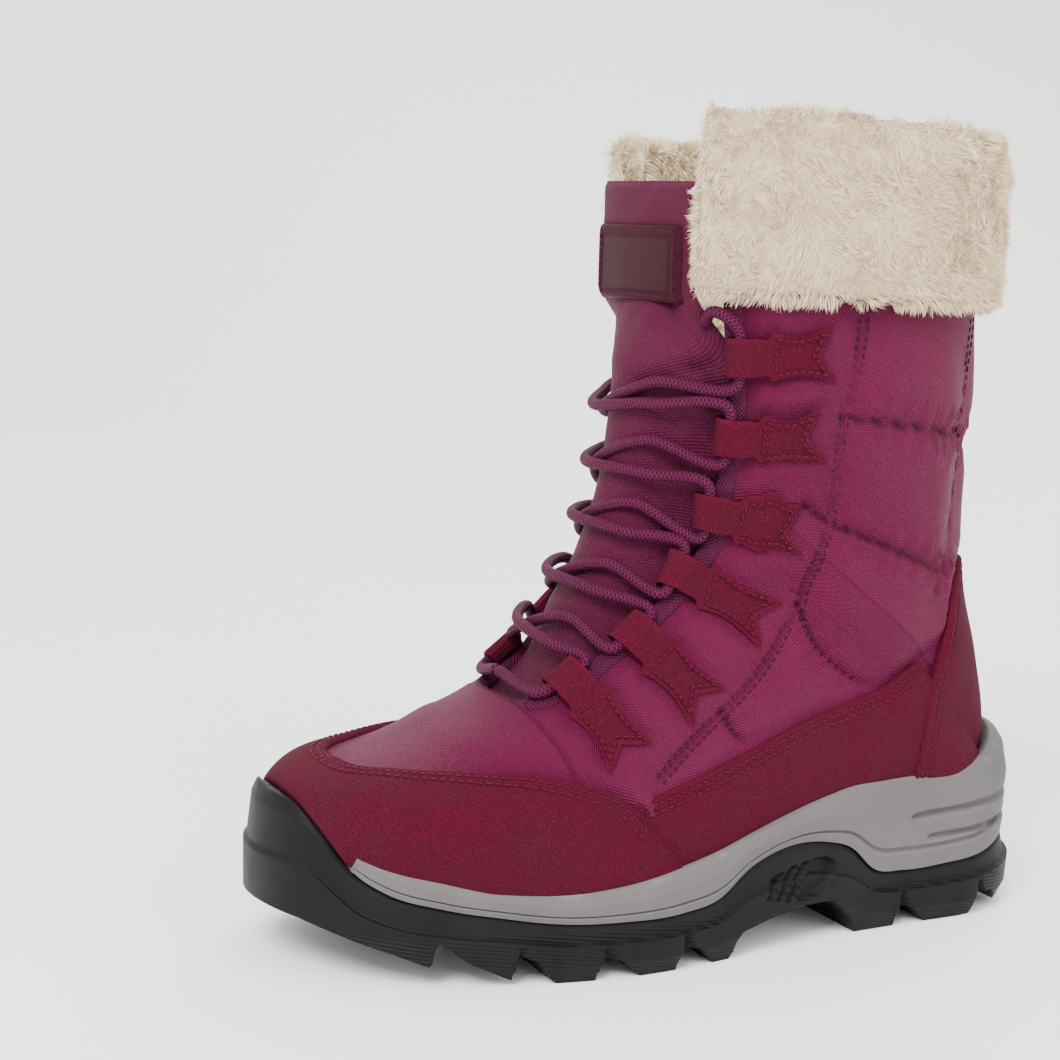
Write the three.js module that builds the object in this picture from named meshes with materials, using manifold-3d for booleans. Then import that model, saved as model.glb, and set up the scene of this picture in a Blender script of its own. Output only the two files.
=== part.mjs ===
// Left snow boot with a fur cuff, standing empty on its sole.
// Millimetres. Toe towards -Y, lateral side towards +X, +Z up.

import * as THREE from "three";
import Module from "manifold-3d";
import { mergeVertices } from "three/addons/utils/BufferGeometryUtils.js";

const wasm = await Module();
wasm.setup();

// Driving sizes
const soleLength = 275;
const ballWidth = 104;
const instepHeight = 96;
const heelHeight = 44.8;
const shaftHeight = 249;
const forefootBed = 24;
const toeSpring = 14;
const outsoleHeight = 18;
const cupDepth = 6;
const lugDepth = 6.5;

// Walls and layers
const upperWall = 3;
const suedeThickness = 1.5;
const insoleThickness = 3;
const tongueThickness = 4;
const patchThickness = 1.4;
const cupWall = 4.6;
const tabThickness = 1.7;
const laceDiameter = 4;
const cuffRise = 12.5;
const cuffDrop = 43.5;
const cuffLap = 15;
const cuffPile = 9.6;

// Clearances
const seatGap = 0.3;
const tabGap = 0.9;
const tabSkin = 0.5;
const laceGap = 0.9;
const tunnelGap = 0.3;
const insoleGap = 0.4;
const liningGap = 0.9;

// Mesh fineness
const columnsPerSide = 10;
const soleStations = 16;
const profileStations = 28;
const profileOver = 0.02;

// A smooth curve through the rows of a table, flat beyond its ends
function curve(stops, values) {
  const count = stops.length;
  const slope = [];
  for (let i = 0; i < count - 1; i += 1) {
    slope.push((values[i + 1] - values[i]) / (stops[i + 1] - stops[i]));
  }
  const tangent = [slope[0]];
  for (let i = 1; i < count - 1; i += 1) {
    const before = stops[i] - stops[i - 1];
    const after = stops[i + 1] - stops[i];
    tangent.push((slope[i - 1] * after + slope[i] * before) / (before + after));
  }
  tangent.push(slope[count - 2]);
  return (at) => {
    const x = Math.min(Math.max(at, stops[0]), stops[count - 1]);
    let i = 0;
    while (i < count - 2 && x > stops[i + 1]) i += 1;
    const width = stops[i + 1] - stops[i];
    const t = (x - stops[i]) / width;
    const u = 1 - t;
    const start = (1 + 2 * t) * u * u * values[i] + t * u * u * width * tangent[i];
    const end = t * t * (3 - 2 * t) * values[i + 1] - t * t * u * width * tangent[i + 1];
    return start + end;
  };
}

// Turns rows into one curve for each named column, over the first column
function table(columns, rows) {
  const stops = rows.map((row) => row[0]);
  const curves = { stops };
  columns.slice(1).forEach((name, k) => {
    curves[name] = curve(stops, rows.map((row) => row[k + 1]));
  });
  return curves;
}

function clamp(value, low, high) {
  return Math.min(Math.max(value, low), high);
}

function mix(a, b, t) {
  return a + (b - a) * t;
}

function smoothstep(low, high, value) {
  const t = clamp((value - low) / (high - low), 0, 1);
  return t * t * (3 - 2 * t);
}

// The sole's outline from toe to heel: half width and sideways shift as shares of the ball width
const outline = table(["at", "half", "shift"], [
  [0, 0.44, -0.05],
  [0.05, 0.438, -0.032],
  [0.1, 0.436, -0.014],
  [0.155, 0.44, 0.002],
  [0.2, 0.45, 0.01],
  [0.26, 0.478, 0.016],
  [0.33, 0.5, 0.022],
  [0.4, 0.497, 0.03],
  [0.47, 0.47, 0.036],
  [0.55, 0.43, 0.034],
  [0.65, 0.391, 0.024],
  [0.75, 0.375, 0.014],
  [0.86, 0.37, 0.004],
  [1, 0.37, 0],
]);

// Heights along the sole. spring is a share of the toe spring, heel of the rise from forefoot to heel,
// cup of the cup's depth, rubber of the outsole's height and bumper of the rim's height, which the
// rubber follows at the toe.
const soleHeights = table(["at", "spring", "heel", "cup", "rubber", "bumper"], [
  [0, 1, 0, 1.5, 2.85, 1.091],
  [0.03, 0.94, 0, 1.3, 2.8, 1.121],
  [0.05, 0.89, 0, 1.1, 2.4, 1.003],
  [0.075, 0.78, 0, 0.9, 1.86, 0.83],
  [0.1, 0.64, 0, 0.72, 1.6, 0.773],
  [0.16, 0.36, 0, 0.65, 1.34, 0.732],
  [0.22, 0.14, 0, 0.67, 1.17, 0.702],
  [0.29, 0, 0, 0.67, 1.02, 0.655],
  [0.36, 0, 0.015, 0.75, 0.98, 0.612],
  [0.437, 0, 0.145, 0.9, 1, 0.555],
  [0.49, 0, 0.275, 1, 1.15, 0.58],
  [0.53, 0, 0.41, 1.05, 1.56, 0.723],
  [0.57, 0, 0.545, 1.1, 1.78, 0.764],
  [0.65, 0, 0.8, 1.13, 1.79, 0.679],
  [0.69, 0, 0.905, 1.12, 1.6, 0.581],
  [0.725, 0, 0.94, 1.05, 1.15, 0.415],
  [0.77, 0, 0.985, 0.98, 1.05, 0.375],
  [0.845, 0, 1, 1, 1.09, 0.386],
  [0.895, 0, 1, 1.45, 1.16, 0.39],
  [0.94, 0, 1, 2.35, 1.3, 0.397],
  [1, 0, 1, 3.2, 1.45, 0.408],
]);

// Sections of the last, each in its own plane from the ridge (toe, instep, shin) to the base
// (feather line, then up the back seam). ridgeAt and baseAt are shares of the sole's length,
// rise counts the instep's height as 0 to 1 and the shaft above it as 1 to 2, lift is a share
// of the shaft above the heel seat, and lateral and medial are half widths over the ball width.
const sections = table(["at", "ridgeAt", "rise", "baseAt", "lift", "lateral", "medial", "round"], [
  [0, 0.03, 0.198, 0.03, 0, 0.019, 0.019, 2],
  [0.05, 0.037, 0.276, 0.04, 0, 0.163, 0.163, 2.2],
  [0.11, 0.062, 0.333, 0.07, 0, 0.284, 0.284, 2.35],
  [0.17, 0.098, 0.371, 0.111, 0, 0.368, 0.368, 2.45],
  [0.23, 0.149, 0.404, 0.165, 0, 0.416, 0.413, 2.45],
  [0.29, 0.204, 0.45, 0.235, 0, 0.452, 0.442, 2.4],
  [0.35, 0.253, 0.515, 0.315, 0, 0.467, 0.447, 2.35],
  [0.41, 0.296, 0.607, 0.402, 0, 0.456, 0.433, 2.3],
  [0.47, 0.335, 0.725, 0.496, 0, 0.429, 0.409, 2.25],
  [0.53, 0.369, 0.865, 0.595, 0, 0.4, 0.385, 2.2],
  [0.59, 0.395, 1, 0.693, 0, 0.379, 0.365, 2.15],
  [0.65, 0.413, 1.101, 0.78, 0, 0.367, 0.36, 2.1],
  [0.7, 0.424, 1.19, 0.849, 0, 0.365, 0.36, 2.1],
  [0.74, 0.429, 1.256, 0.898, 0, 0.367, 0.362, 2.1],
  [0.775, 0.433, 1.31, 0.931, 0, 0.369, 0.363, 2.1],
  [0.8, 0.435, 1.349, 0.944, 0, 0.372, 0.366, 2.1],
  [0.82, 0.436, 1.384, 0.944, 0.064, 0.375, 0.369, 2.1],
  [0.845, 0.437, 1.434, 0.925, 0.176, 0.381, 0.376, 2.1],
  [0.87, 0.437, 1.492, 0.896, 0.299, 0.389, 0.385, 2.1],
  [0.895, 0.437, 1.558, 0.885, 0.431, 0.4, 0.394, 2.1],
  [0.92, 0.437, 1.636, 0.887, 0.574, 0.412, 0.406, 2.1],
  [0.95, 0.436, 1.756, 0.897, 0.73, 0.423, 0.417, 2.1],
  [0.975, 0.435, 1.876, 0.905, 0.868, 0.429, 0.423, 2.1],
  [1, 0.433, 2, 0.912, 0.995, 0.433, 0.427, 2.1],
  [1.03, 0.431, 2.14, 0.918, 1.083, 0.436, 0.43, 2.1],
]);
const bumperEnd = 0.1;
const bumperGone = 0.22;
const heelStop = 0.8;
const toeRound = 0.2;
const heelRound = 0.14;
const featherToeRound = 0.205;
const featherHeelRound = 0.105;
const featherToe = 0.0286;
const featherHeel = 0.945;
const shiftFadeFrom = 30;
const shiftFadeOver = 120;

// Where the mesh of the form has its rows
const formStops = [
  0, 0.015, 0.04, 0.08, 0.125, 0.18, 0.24, 0.3, 0.36, 0.42, 0.48, 0.54, 0.6, 0.66, 0.71,
  0.745, 0.772, 0.788, 0.8, 0.818, 0.845, 0.88, 0.93, 1,
];

// Half angle of the throat opening, as a share of half a turn
const throat = table(["at", "half"], [
  [0.384, 0],
  [0.388, 0.05],
  [0.404, 0.098],
  [0.434, 0.133],
  [0.5, 0.176],
  [0.584, 0.214],
  [0.694, 0.231],
  [0.811, 0.25],
  [0.88, 0.262],
  [0.93, 0.24],
  [1.03, 0.215],
]);
const throatTip = 0.384;

function roundedEnds(share, toe, heel) {
  const front = clamp(1 - share / toe, 0, 1);
  const back = clamp(1 - (1 - share) / heel, 0, 1);
  return Math.sqrt(1 - front * front) * Math.sqrt(1 - back * back);
}

function along(y) {
  return y / soleLength + 0.5;
}

function lengthwise(share) {
  return (share - 0.5) * soleLength;
}

function bedHeight(share) {
  const s = clamp(share, 0, 1);
  return forefootBed + toeSpring * soleHeights.spring(s) + (heelHeight - forefootBed) * soleHeights.heel(s);
}

function rimHeight(share) {
  return bedHeight(share) + cupDepth * soleHeights.cup(clamp(share, 0, 1));
}

function rubberTop(share) {
  const s = clamp(share, 0, 1);
  const toe = rimHeight(share) * soleHeights.bumper(s);
  return mix(toe, outsoleHeight * soleHeights.rubber(s), smoothstep(bumperEnd, bumperGone, s));
}

function soleShift(share) {
  return ballWidth * outline.shift(clamp(share, 0, 1));
}

// Half width of the feather line, where the upper meets the bed
function featherHalf(y) {
  const share = (along(y) - featherToe) / (featherHeel - featherToe);
  const half = ballWidth * outline.half(clamp(along(y), 0, 1)) - cupWall;
  return half * roundedEnds(clamp(share, 0, 1), featherToeRound, featherHeelRound);
}

function isRing(v) {
  return v >= heelStop - 1e-9;
}

// The plane, widths and end angle of the section at v
function sectionAt(v, side) {
  const rise = sections.rise(v);
  const baseY = lengthwise(sections.baseAt(v));
  const shaftRise = shaftHeight - forefootBed - instepHeight;
  const seat = bedHeight(along(baseY)) + seatGap;
  const width = ballWidth * (side > 0 ? sections.lateral(v) : sections.medial(v));
  const round = sections.round(v);
  const feather = Math.min(featherHalf(baseY), width * 0.999);
  const open = Math.PI - Math.asin((feather / width) ** (round / 2));
  return {
    ridgeY: lengthwise(sections.ridgeAt(v)),
    ridgeZ: forefootBed + instepHeight * Math.min(rise, 1) + shaftRise * Math.max(rise - 1, 0),
    baseY,
    baseZ: seat + sections.lift(v) * (shaftHeight - heelHeight - seatGap),
    width,
    round,
    end: isRing(v) ? Math.PI : open,
  };
}

// A point of the form. angle runs from 0 at the ridge, plus to the lateral and minus to the medial side.
function formPoint(v, angle) {
  const side = angle < 0 ? -1 : 1;
  const s = sectionAt(v, side);
  const turn = Math.min(Math.abs(angle), s.end);
  const power = 2 / s.round;
  const flatCos = (a) => Math.sign(Math.cos(a)) * Math.abs(Math.cos(a)) ** power;
  const depth = (1 - flatCos(turn)) / (1 - flatCos(s.end));
  const out = turn > Math.PI - 1e-9 ? 0 : s.width * Math.abs(Math.sin(turn)) ** power;
  const y = mix(s.ridgeY, s.baseY, depth);
  const z = mix(s.ridgeZ, s.baseZ, depth);
  const fade = clamp(1 - (z - shiftFadeFrom) / shiftFadeOver, 0, 1);
  return new THREE.Vector3(soleShift(along(y)) * fade + side * out, y, z);
}

// The outward normal of the form, also across the ridge and the back seam
function formNormal(v, angle) {
  const stepV = 0.003;
  const stepA = 0.02;
  const highest = sections.stops[sections.stops.length - 1];
  const before = Math.max(v - stepV, 0);
  const after = Math.min(v + stepV, highest);
  const lengthTangent = formPoint(after, angle).sub(formPoint(before, angle));
  const end = sectionAt(v, angle < 0 ? -1 : 1).end;
  let low = angle - stepA;
  let high = angle + stepA;
  if (Math.abs(angle) > end - stepA) {
    if (isRing(v)) {
      low = end - stepA;
      high = -end + stepA;
    } else {
      low = angle > 0 ? end - 2 * stepA : -end;
      high = angle > 0 ? end : -end + 2 * stepA;
    }
  }
  const acrossTangent = formPoint(v, high).sub(formPoint(v, low));
  return acrossTangent.cross(lengthTangent).normalize();
}

function offsetPoint(v, angle, offset) {
  return formPoint(v, angle).addScaledVector(formNormal(v, angle), offset);
}

// Meshes and solids
class MeshBuilder {
  constructor() {
    this.positions = [];
    this.indices = [];
  }

  point(p) {
    this.positions.push(p.x, p.y, p.z);
    return this.positions.length / 3 - 1;
  }

  triangle(a, b, c) {
    if (a !== b && b !== c && c !== a) this.indices.push(a, b, c);
  }

  quad(a, b, c, d) {
    this.triangle(a, b, c);
    this.triangle(a, c, d);
  }

  geometry() {
    const geometry = new THREE.BufferGeometry();
    geometry.setAttribute("position", new THREE.Float32BufferAttribute(this.positions, 3));
    geometry.setIndex(this.indices);
    return geometry;
  }
}

function solid(geometry) {
  const bare = geometry.clone();
  bare.deleteAttribute("normal");
  bare.deleteAttribute("uv");
  const merged = mergeVertices(bare, 1e-4);
  const index = merged.index ? merged.index.array : [...merged.attributes.position.array.keys()];
  const vertProperties = new Float32Array(merged.attributes.position.array);
  return new wasm.Manifold(new wasm.Mesh({ numProp: 3, vertProperties, triVerts: new Uint32Array(index) }));
}

function fromSolid(manifold) {
  const mesh = manifold.getMesh();
  const geometry = new THREE.BufferGeometry();
  geometry.setAttribute("position", new THREE.BufferAttribute(mesh.vertProperties, 3));
  geometry.setIndex(new THREE.BufferAttribute(mesh.triVerts, 1));
  return geometry;
}

function joined(solids) {
  return solids.reduce((sum, next) => sum.add(next));
}

// The closed form at an offset. drop lengthens it below the feather line, crown above its top edge.
function formSolid(offset, drop = 0, crown = 0) {
  const builder = new MeshBuilder();
  const last = columnsPerSide * 2;
  const rows = formStops.map((v) => {
    const row = [];
    for (let j = 0; j <= last; j += 1) {
      const share = (j - columnsPerSide) / columnsPerSide;
      const end = sectionAt(v, share).end;
      const shared = j === last && isRing(v);
      row.push(shared ? row[0] : builder.point(offsetPoint(v, share * end, offset)));
    }
    return row;
  });
  const pointAt = (k) => new THREE.Vector3().fromArray(builder.positions, k * 3);
  for (let i = 0; i < rows.length - 1; i += 1) {
    for (let j = 0; j < last; j += 1) {
      const [a, b, c, d] = [rows[i][j], rows[i][j + 1], rows[i + 1][j + 1], rows[i + 1][j]];
      if (j < columnsPerSide) builder.quad(a, b, c, d);
      else builder.quad(b, c, d, a);
    }
  }
  const openRows = rows.filter((row, i) => !isRing(formStops[i]));
  let rims = rows.slice(0, openRows.length + 1).map((row) => [row[0], row[last]]);
  if (drop > 0) {
    const lowered = rims.map(([a, b]) => {
      const left = builder.point(pointAt(a).add(new THREE.Vector3(0, 0, -drop)));
      const right = a === b ? left : builder.point(pointAt(b).add(new THREE.Vector3(0, 0, -drop)));
      return [left, right];
    });
    for (let i = 0; i < rims.length - 1; i += 1) {
      builder.quad(rims[i][0], rims[i + 1][0], lowered[i + 1][0], lowered[i][0]);
      builder.quad(rims[i][1], lowered[i][1], lowered[i + 1][1], rims[i + 1][1]);
    }
    builder.quad(rims[0][0], lowered[0][0], lowered[0][1], rims[0][1]);
    rims = lowered;
  }
  for (let i = 0; i < rims.length - 1; i += 1) {
    builder.quad(rims[i][0], rims[i + 1][0], rims[i + 1][1], rims[i][1]);
  }
  let top = rows[rows.length - 1];
  if (crown > 0) {
    const raised = top.map((k, j) => {
      if (j === last) return -1;
      return builder.point(pointAt(k).add(new THREE.Vector3(0, 0, crown)));
    });
    raised[last] = raised[0];
    for (let j = 0; j < last; j += 1) builder.quad(top[j], top[j + 1], raised[j + 1], raised[j]);
    top = raised;
  }
  const capRow = (row, flip) => {
    for (let k = 0; k < columnsPerSide; k += 1) {
      const a = row[columnsPerSide - k];
      const b = row[columnsPerSide + k];
      const c = row[columnsPerSide + k + 1];
      const d = row[columnsPerSide - k - 1];
      if (flip) builder.quad(a, d, c, b);
      else builder.quad(a, b, c, d);
    }
  };
  capRow(top, false);
  capRow(rows[0], true);
  return solid(builder.geometry());
}

// A closed sheet: point(row, column, layer) gives its inner layer 0 and outer layer 1
function sheet(rowCount, columnCount, point) {
  const builder = new MeshBuilder();
  const layers = [0, 1].map((layer) => {
    const grid = [];
    for (let i = 0; i < rowCount; i += 1) {
      const row = [];
      for (let j = 0; j < columnCount; j += 1) row.push(builder.point(point(i, j, layer)));
      grid.push(row);
    }
    return grid;
  });
  const [inner, outer] = layers;
  const lastRow = rowCount - 1;
  const lastColumn = columnCount - 1;
  for (let i = 0; i < lastRow; i += 1) {
    for (let j = 0; j < lastColumn; j += 1) {
      builder.quad(outer[i][j], outer[i][j + 1], outer[i + 1][j + 1], outer[i + 1][j]);
      builder.quad(inner[i][j], inner[i + 1][j], inner[i + 1][j + 1], inner[i][j + 1]);
    }
    builder.quad(inner[i][0], outer[i][0], outer[i + 1][0], inner[i + 1][0]);
    builder.quad(outer[i][lastColumn], inner[i][lastColumn], inner[i + 1][lastColumn], outer[i + 1][lastColumn]);
  }
  for (let j = 0; j < lastColumn; j += 1) {
    builder.quad(inner[0][j], inner[0][j + 1], outer[0][j + 1], outer[0][j]);
    builder.quad(outer[lastRow][j], outer[lastRow][j + 1], inner[lastRow][j + 1], inner[lastRow][j]);
  }
  return solid(builder.geometry());
}

// A prism across the boot from an outline seen from the side, given as [y, z] pairs
function sidePrism(points, fromX = -ballWidth, toX = ballWidth) {
  const shape = new THREE.Shape(points.map(([y, z]) => new THREE.Vector2(y, z)));
  const geometry = new THREE.ExtrudeGeometry(shape, { depth: toX - fromX, bevelEnabled: false });
  const turn = new THREE.Matrix4().set(0, 0, 1, fromX, 1, 0, 0, 0, 0, 1, 0, 0, 0, 0, 0, 1);
  geometry.applyMatrix4(turn);
  return solid(geometry);
}

// Points of a height curve between two shares of the length, at stations that all curves share.
// Its ends lie on the straight lines between those stations.
function profile(height, from = -profileOver, to = 1 + profileOver) {
  const station = (i) => mix(-profileOver, 1 + profileOver, i / profileStations);
  const straight = (share) => {
    const place = ((share + profileOver) / (1 + 2 * profileOver)) * profileStations;
    const i = clamp(Math.floor(place), 0, profileStations - 1);
    return mix(height(station(i)), height(station(i + 1)), place - i);
  };
  const points = [[lengthwise(from), straight(from)]];
  for (let i = 0; i <= profileStations; i += 1) {
    const share = station(i);
    if (share > from + 1e-4 && share < to - 1e-4) points.push([lengthwise(share), height(share)]);
  }
  points.push([lengthwise(to), straight(to)]);
  return points;
}

// A prism between two height curves
function band(bottom, top, from = -profileOver) {
  return sidePrism([...profile(bottom, from), ...profile(top, from).reverse()]);
}

// A block with the sole's outline. Rows go up from the bottom: height(share) and how far the
// outline lies in at the sides, toe and heel.
function soleBlock(rows) {
  const builder = new MeshBuilder();
  const rings = rows.map((row) => {
    const ring = [];
    const start = lengthwise(0) + row.toe;
    const end = lengthwise(1) - row.heel;
    for (let k = 0; k < soleStations * 2; k += 1) {
      const medial = k > soleStations;
      const i = medial ? 2 * soleStations - k : k;
      const t = 0.5 - 0.5 * Math.cos((Math.PI * i) / soleStations);
      const y = mix(start, end, t);
      const share = along(y);
      const half = (ballWidth * outline.half(share) - row.side) * roundedEnds(t, toeRound, heelRound);
      const x = soleShift(share) + (medial ? -half : half);
      ring.push(builder.point(new THREE.Vector3(x, y, row.height(share))));
    }
    return ring;
  });
  const count = soleStations * 2;
  for (let r = 0; r < rings.length - 1; r += 1) {
    for (let k = 0; k < count; k += 1) {
      const next = (k + 1) % count;
      builder.quad(rings[r][k], rings[r][next], rings[r + 1][next], rings[r + 1][k]);
    }
  }
  const cap = (ring, flip) => {
    for (let i = 0; i < soleStations; i += 1) {
      const a = ring[i];
      const b = ring[i + 1];
      const c = ring[(count - i - 1) % count];
      const d = ring[(count - i) % count];
      if (flip) builder.quad(a, d, c, b);
      else builder.quad(a, b, c, d);
    }
  };
  cap(rings[0], true);
  cap(rings[rings.length - 1], false);
  return solid(builder.geometry());
}

// The upper, one hollow wall
const skirt = 8;
const form = formSolid(0, skirt);
const shellOuter = formSolid(seatGap + suedeThickness, skirt);
const shellInner = formSolid(seatGap, skirt);
const footCavity = formSolid(-upperWall, skirt, skirt);
const cupCutter = formSolid(2 * seatGap + suedeThickness, skirt);

// What is cut away at the throat: a ribbon along the ridge, from the throat's tip past the top edge
const throatTipHalf = 0.001;
const throatTop = 1.03;
const throatRows = 18;
const throatColumns = 5;
function throatCut() {
  return sheet(throatRows, throatColumns, (i, j, layer) => {
    const v = mix(throatTip, throatTop, i / (throatRows - 1));
    const half = Math.PI * (throat.half(v) + throatTipHalf);
    const angle = mix(-half, half, j / (throatColumns - 1));
    return offsetPoint(v, angle, layer ? upperWall : -upperWall * 2);
  });
}

// What lies above the bed, clear of it by the seat gap
const onBed = band((share) => bedHeight(share) + seatGap, (share) => bedHeight(share) + shaftHeight);

function makeUpper() {
  return form.subtract(footCavity).subtract(throatCut()).intersect(onBed);
}

// Suede overlays, cut from the layer just outside the upper by outlines seen from the side
const overlayLayer = shellOuter.subtract(shellInner);
const reach = 60;

function aboveBed(from, to) {
  return profile((share) => bedHeight(share) + seatGap, from, to);
}

const toeGuardEnd = 0.436;
const counterStart = 0.775;
const toeGuardEdge = [
  [-0.02, 0.054],
  [0.05, 0.215],
  [0.1, 0.275],
  [0.155, 0.324],
  [0.21, 0.361],
  [0.27, 0.379],
  [0.325, 0.355],
  [0.36, 0.315],
  [0.394, 0.213],
  [0.418, 0.133],
  [0.436, 0.059],
];
const sideGuardEdge = [
  [0.402, 0.294],
  [0.46, 0.324],
  [0.524, 0.34],
  [0.603, 0.358],
  [0.675, 0.371],
  [0.717, 0.396],
  [0.753, 0.442],
  [0.786, 0.485],
  [0.802, 0.524],
];
const counterEdge = [
  [0.775, 0.026],
  [0.778, 0.096],
  [0.782, 0.202],
  [0.79, 0.319],
  [0.804, 0.454],
  [0.817, 0.574],
  [0.83, 0.688],
  [0.847, 0.751],
  [0.9, 0.783],
  [1, 0.803],
];

// Edge points hold a share of the sole's length and a height over the bed there, as a share of the
// instep's height
function edgePoints(edge) {
  return edge.map(([share, up]) => [lengthwise(share), bedHeight(share) + up * instepHeight]);
}

function makeToeGuard() {
  const edge = edgePoints(toeGuardEdge);
  const floor = aboveBed(-profileOver, toeGuardEnd).reverse();
  return overlayLayer.intersect(sidePrism([...floor, ...edge]));
}

function makeSideGuard(fromX, toX) {
  const front = edgePoints(toeGuardEdge).slice(7).map(([y, z]) => [y + seatGap * 2, z]);
  const back = edgePoints(counterEdge).slice(0, 5).map(([y, z]) => [y - seatGap, z]);
  const top = edgePoints(sideGuardEdge).slice(1, -1);
  const floor = aboveBed(toeGuardEnd + (2 * seatGap) / soleLength, counterStart - seatGap / soleLength);
  const outlinePoints = [...floor, ...back, ...top.reverse(), ...front];
  return overlayLayer.intersect(sidePrism(outlinePoints, fromX, toX));
}

function makeHeelCounter() {
  const edge = edgePoints(counterEdge);
  const floor = aboveBed(counterStart, 1 + profileOver);
  return overlayLayer.intersect(sidePrism([...floor, ...edge.reverse()]));
}

// Rows of the foam midsole, from the bottom up. level is the share of the height from the rubber to
// the rim, and side, toe and heel say how far the outline lies in there, as shares of the cup's wall.
const foamRows = [
  { level: -0.2, side: 0.57, toe: 0.3, heel: 0.87 },
  { level: 0.2, side: 0.2, toe: 0.3, heel: 0.57 },
  { level: 0.24, side: 0.41, toe: 0.3, heel: 0.78 },
  { level: 0.6, side: 0.02, toe: 0.3, heel: 0.74 },
  { level: 0.85, side: 0.08, toe: 0.35, heel: 1.2 },
  { level: 1.25, side: 0.42, toe: 0.6, heel: 3.4 },
];
// Slots that taper towards the front. fromLevel and toLevel are levels of the foam.
const heelSlots = [
  { from: 0.8, fromLevel: 0.57, to: 0.972, toLevel: 0.43, wide: 2.2 },
  { from: 0.83, fromLevel: 0.33, to: 0.972, toLevel: 0.18, wide: 1.8 },
];
const slotDepth = 1.6;
const foamFrom = 0.074;

// Rows of the rubber outsole and its toe bumper, as shares of the rubber's height
const rubberRows = [
  { level: -0.1, side: 0.74, toe: 0.98, heel: 1.09 },
  { level: 0.04, side: 0.57, toe: 0.7, heel: 0.74 },
  { level: 0.3, side: 0.13, toe: 0.17, heel: 0.09 },
  { level: 0.66, side: 0, toe: 0.07, heel: 0.04 },
  { level: 0.69, side: 0.26, toe: 0.28, heel: 0.39 },
  { level: 0.93, side: 0.39, toe: 0.52, heel: 0.7 },
  { level: 1.02, side: 0.74, toe: 0.96, heel: 1 },
];

// The ground line from toe to heel: each lug rises from its foot to a steep rear face.
// up is a share of the lug depth above the floor.
const groundLine = [
  [-0.02, 3.1],
  [0.03, 2.75],
  [0.075, 2.1],
  [0.11, 1.65],
  [0.148, 1.05],
  [0.152, 2.3],
  [0.185, 1.3],
  [0.236, 0.26],
  [0.241, 1.4],
  [0.262, 1.25],
  [0.285, 0],
  [0.332, 0],
  [0.337, 1.05],
  [0.358, 1],
  [0.385, 0],
  [0.434, 0],
  [0.439, 1.05],
  [0.462, 1],
  [0.485, 0],
  [0.512, 0],
  [0.522, 1.3],
  [0.565, 1.7],
  [0.62, 2],
  [0.662, 2],
  [0.69, 1],
  [0.702, 0],
  [0.762, 0],
  [0.767, 1],
  [0.785, 1],
  [0.81, 0],
  [0.884, 0],
  [0.889, 1.15],
  [0.915, 1.2],
  [0.938, 0.25],
  [0.97, 0.5],
  [0.993, 1.6],
  [1.02, 3],
];
// Where the gaps between the lugs run up the outsole's side, as shares of the length
const sideGaps = [0.152, 0.241, 0.337, 0.439, 0.767, 0.889];
const sideGapWide = 8;
const sideGapDepth = 2.4;
const sideGapRise = 1.9;
const channelHalf = 8;
const channelFrom = 0.13;
const channelTo = 0.9;

// The recess in the arch bridge, seen from the side, and the slanted ribs left standing in it.
// Each point has a share of the length and of the outsole's height.
const archRecess = [
  [0.557, 0.96],
  [0.566, 1.33],
  [0.595, 1.46],
  [0.626, 1.53],
  [0.65, 1.53],
  [0.663, 1.42],
  [0.664, 1.2],
  [0.655, 0.98],
  [0.635, 0.84],
  [0.6, 0.82],
];
const archRibs = [0.57, 0.588, 0.607];
const archRibLean = 0.026;
const archRibHalf = 0.0035;
const archDepth = 1.8;

// A height in the foam, which counts 0 at the rubber and 1 at the rim
function foamLevel(share, level) {
  const rim = Math.max(rimHeight(share), rubberTop(share) + leastFoam);
  return mix(rubberTop(share), rim, level);
}
const leastFoam = 2;

function foamBlock(inset) {
  return soleBlock(foamRows.map((row) => ({
    side: row.side * cupWall + inset,
    toe: row.toe * cupWall + inset,
    heel: row.heel * cupWall + inset,
    height: (share) => foamLevel(share, row.level),
  })));
}

function rubberBlock(inset) {
  return soleBlock(rubberRows.map((row) => ({
    side: row.side * cupWall + inset,
    toe: row.toe * cupWall + inset,
    heel: row.heel * cupWall + inset,
    height: (share) => rubberTop(share) * row.level,
  })));
}

function aboveBedCutter() {
  const ceiling = (share) => bedHeight(share) + shaftHeight;
  return cupCutter.intersect(band(bedHeight, ceiling));
}

function makeMidsole(cup) {
  const bottom = (share) => rubberTop(share) + seatGap;
  const top = rimHeight;
  const skin = foamBlock(-slotDepth).subtract(foamBlock(slotDepth));
  const slots = joined(heelSlots.map((slot) => {
    const end = foamLevel(slot.to, slot.toLevel);
    return sidePrism([
      [lengthwise(slot.from), foamLevel(slot.from, slot.fromLevel)],
      [lengthwise(slot.to), end - slot.wide],
      [lengthwise(slot.to), end + slot.wide],
    ]);
  })).intersect(skin);
  return foamBlock(0).intersect(band(bottom, top, foamFrom)).subtract(cup).subtract(slots);
}

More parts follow.
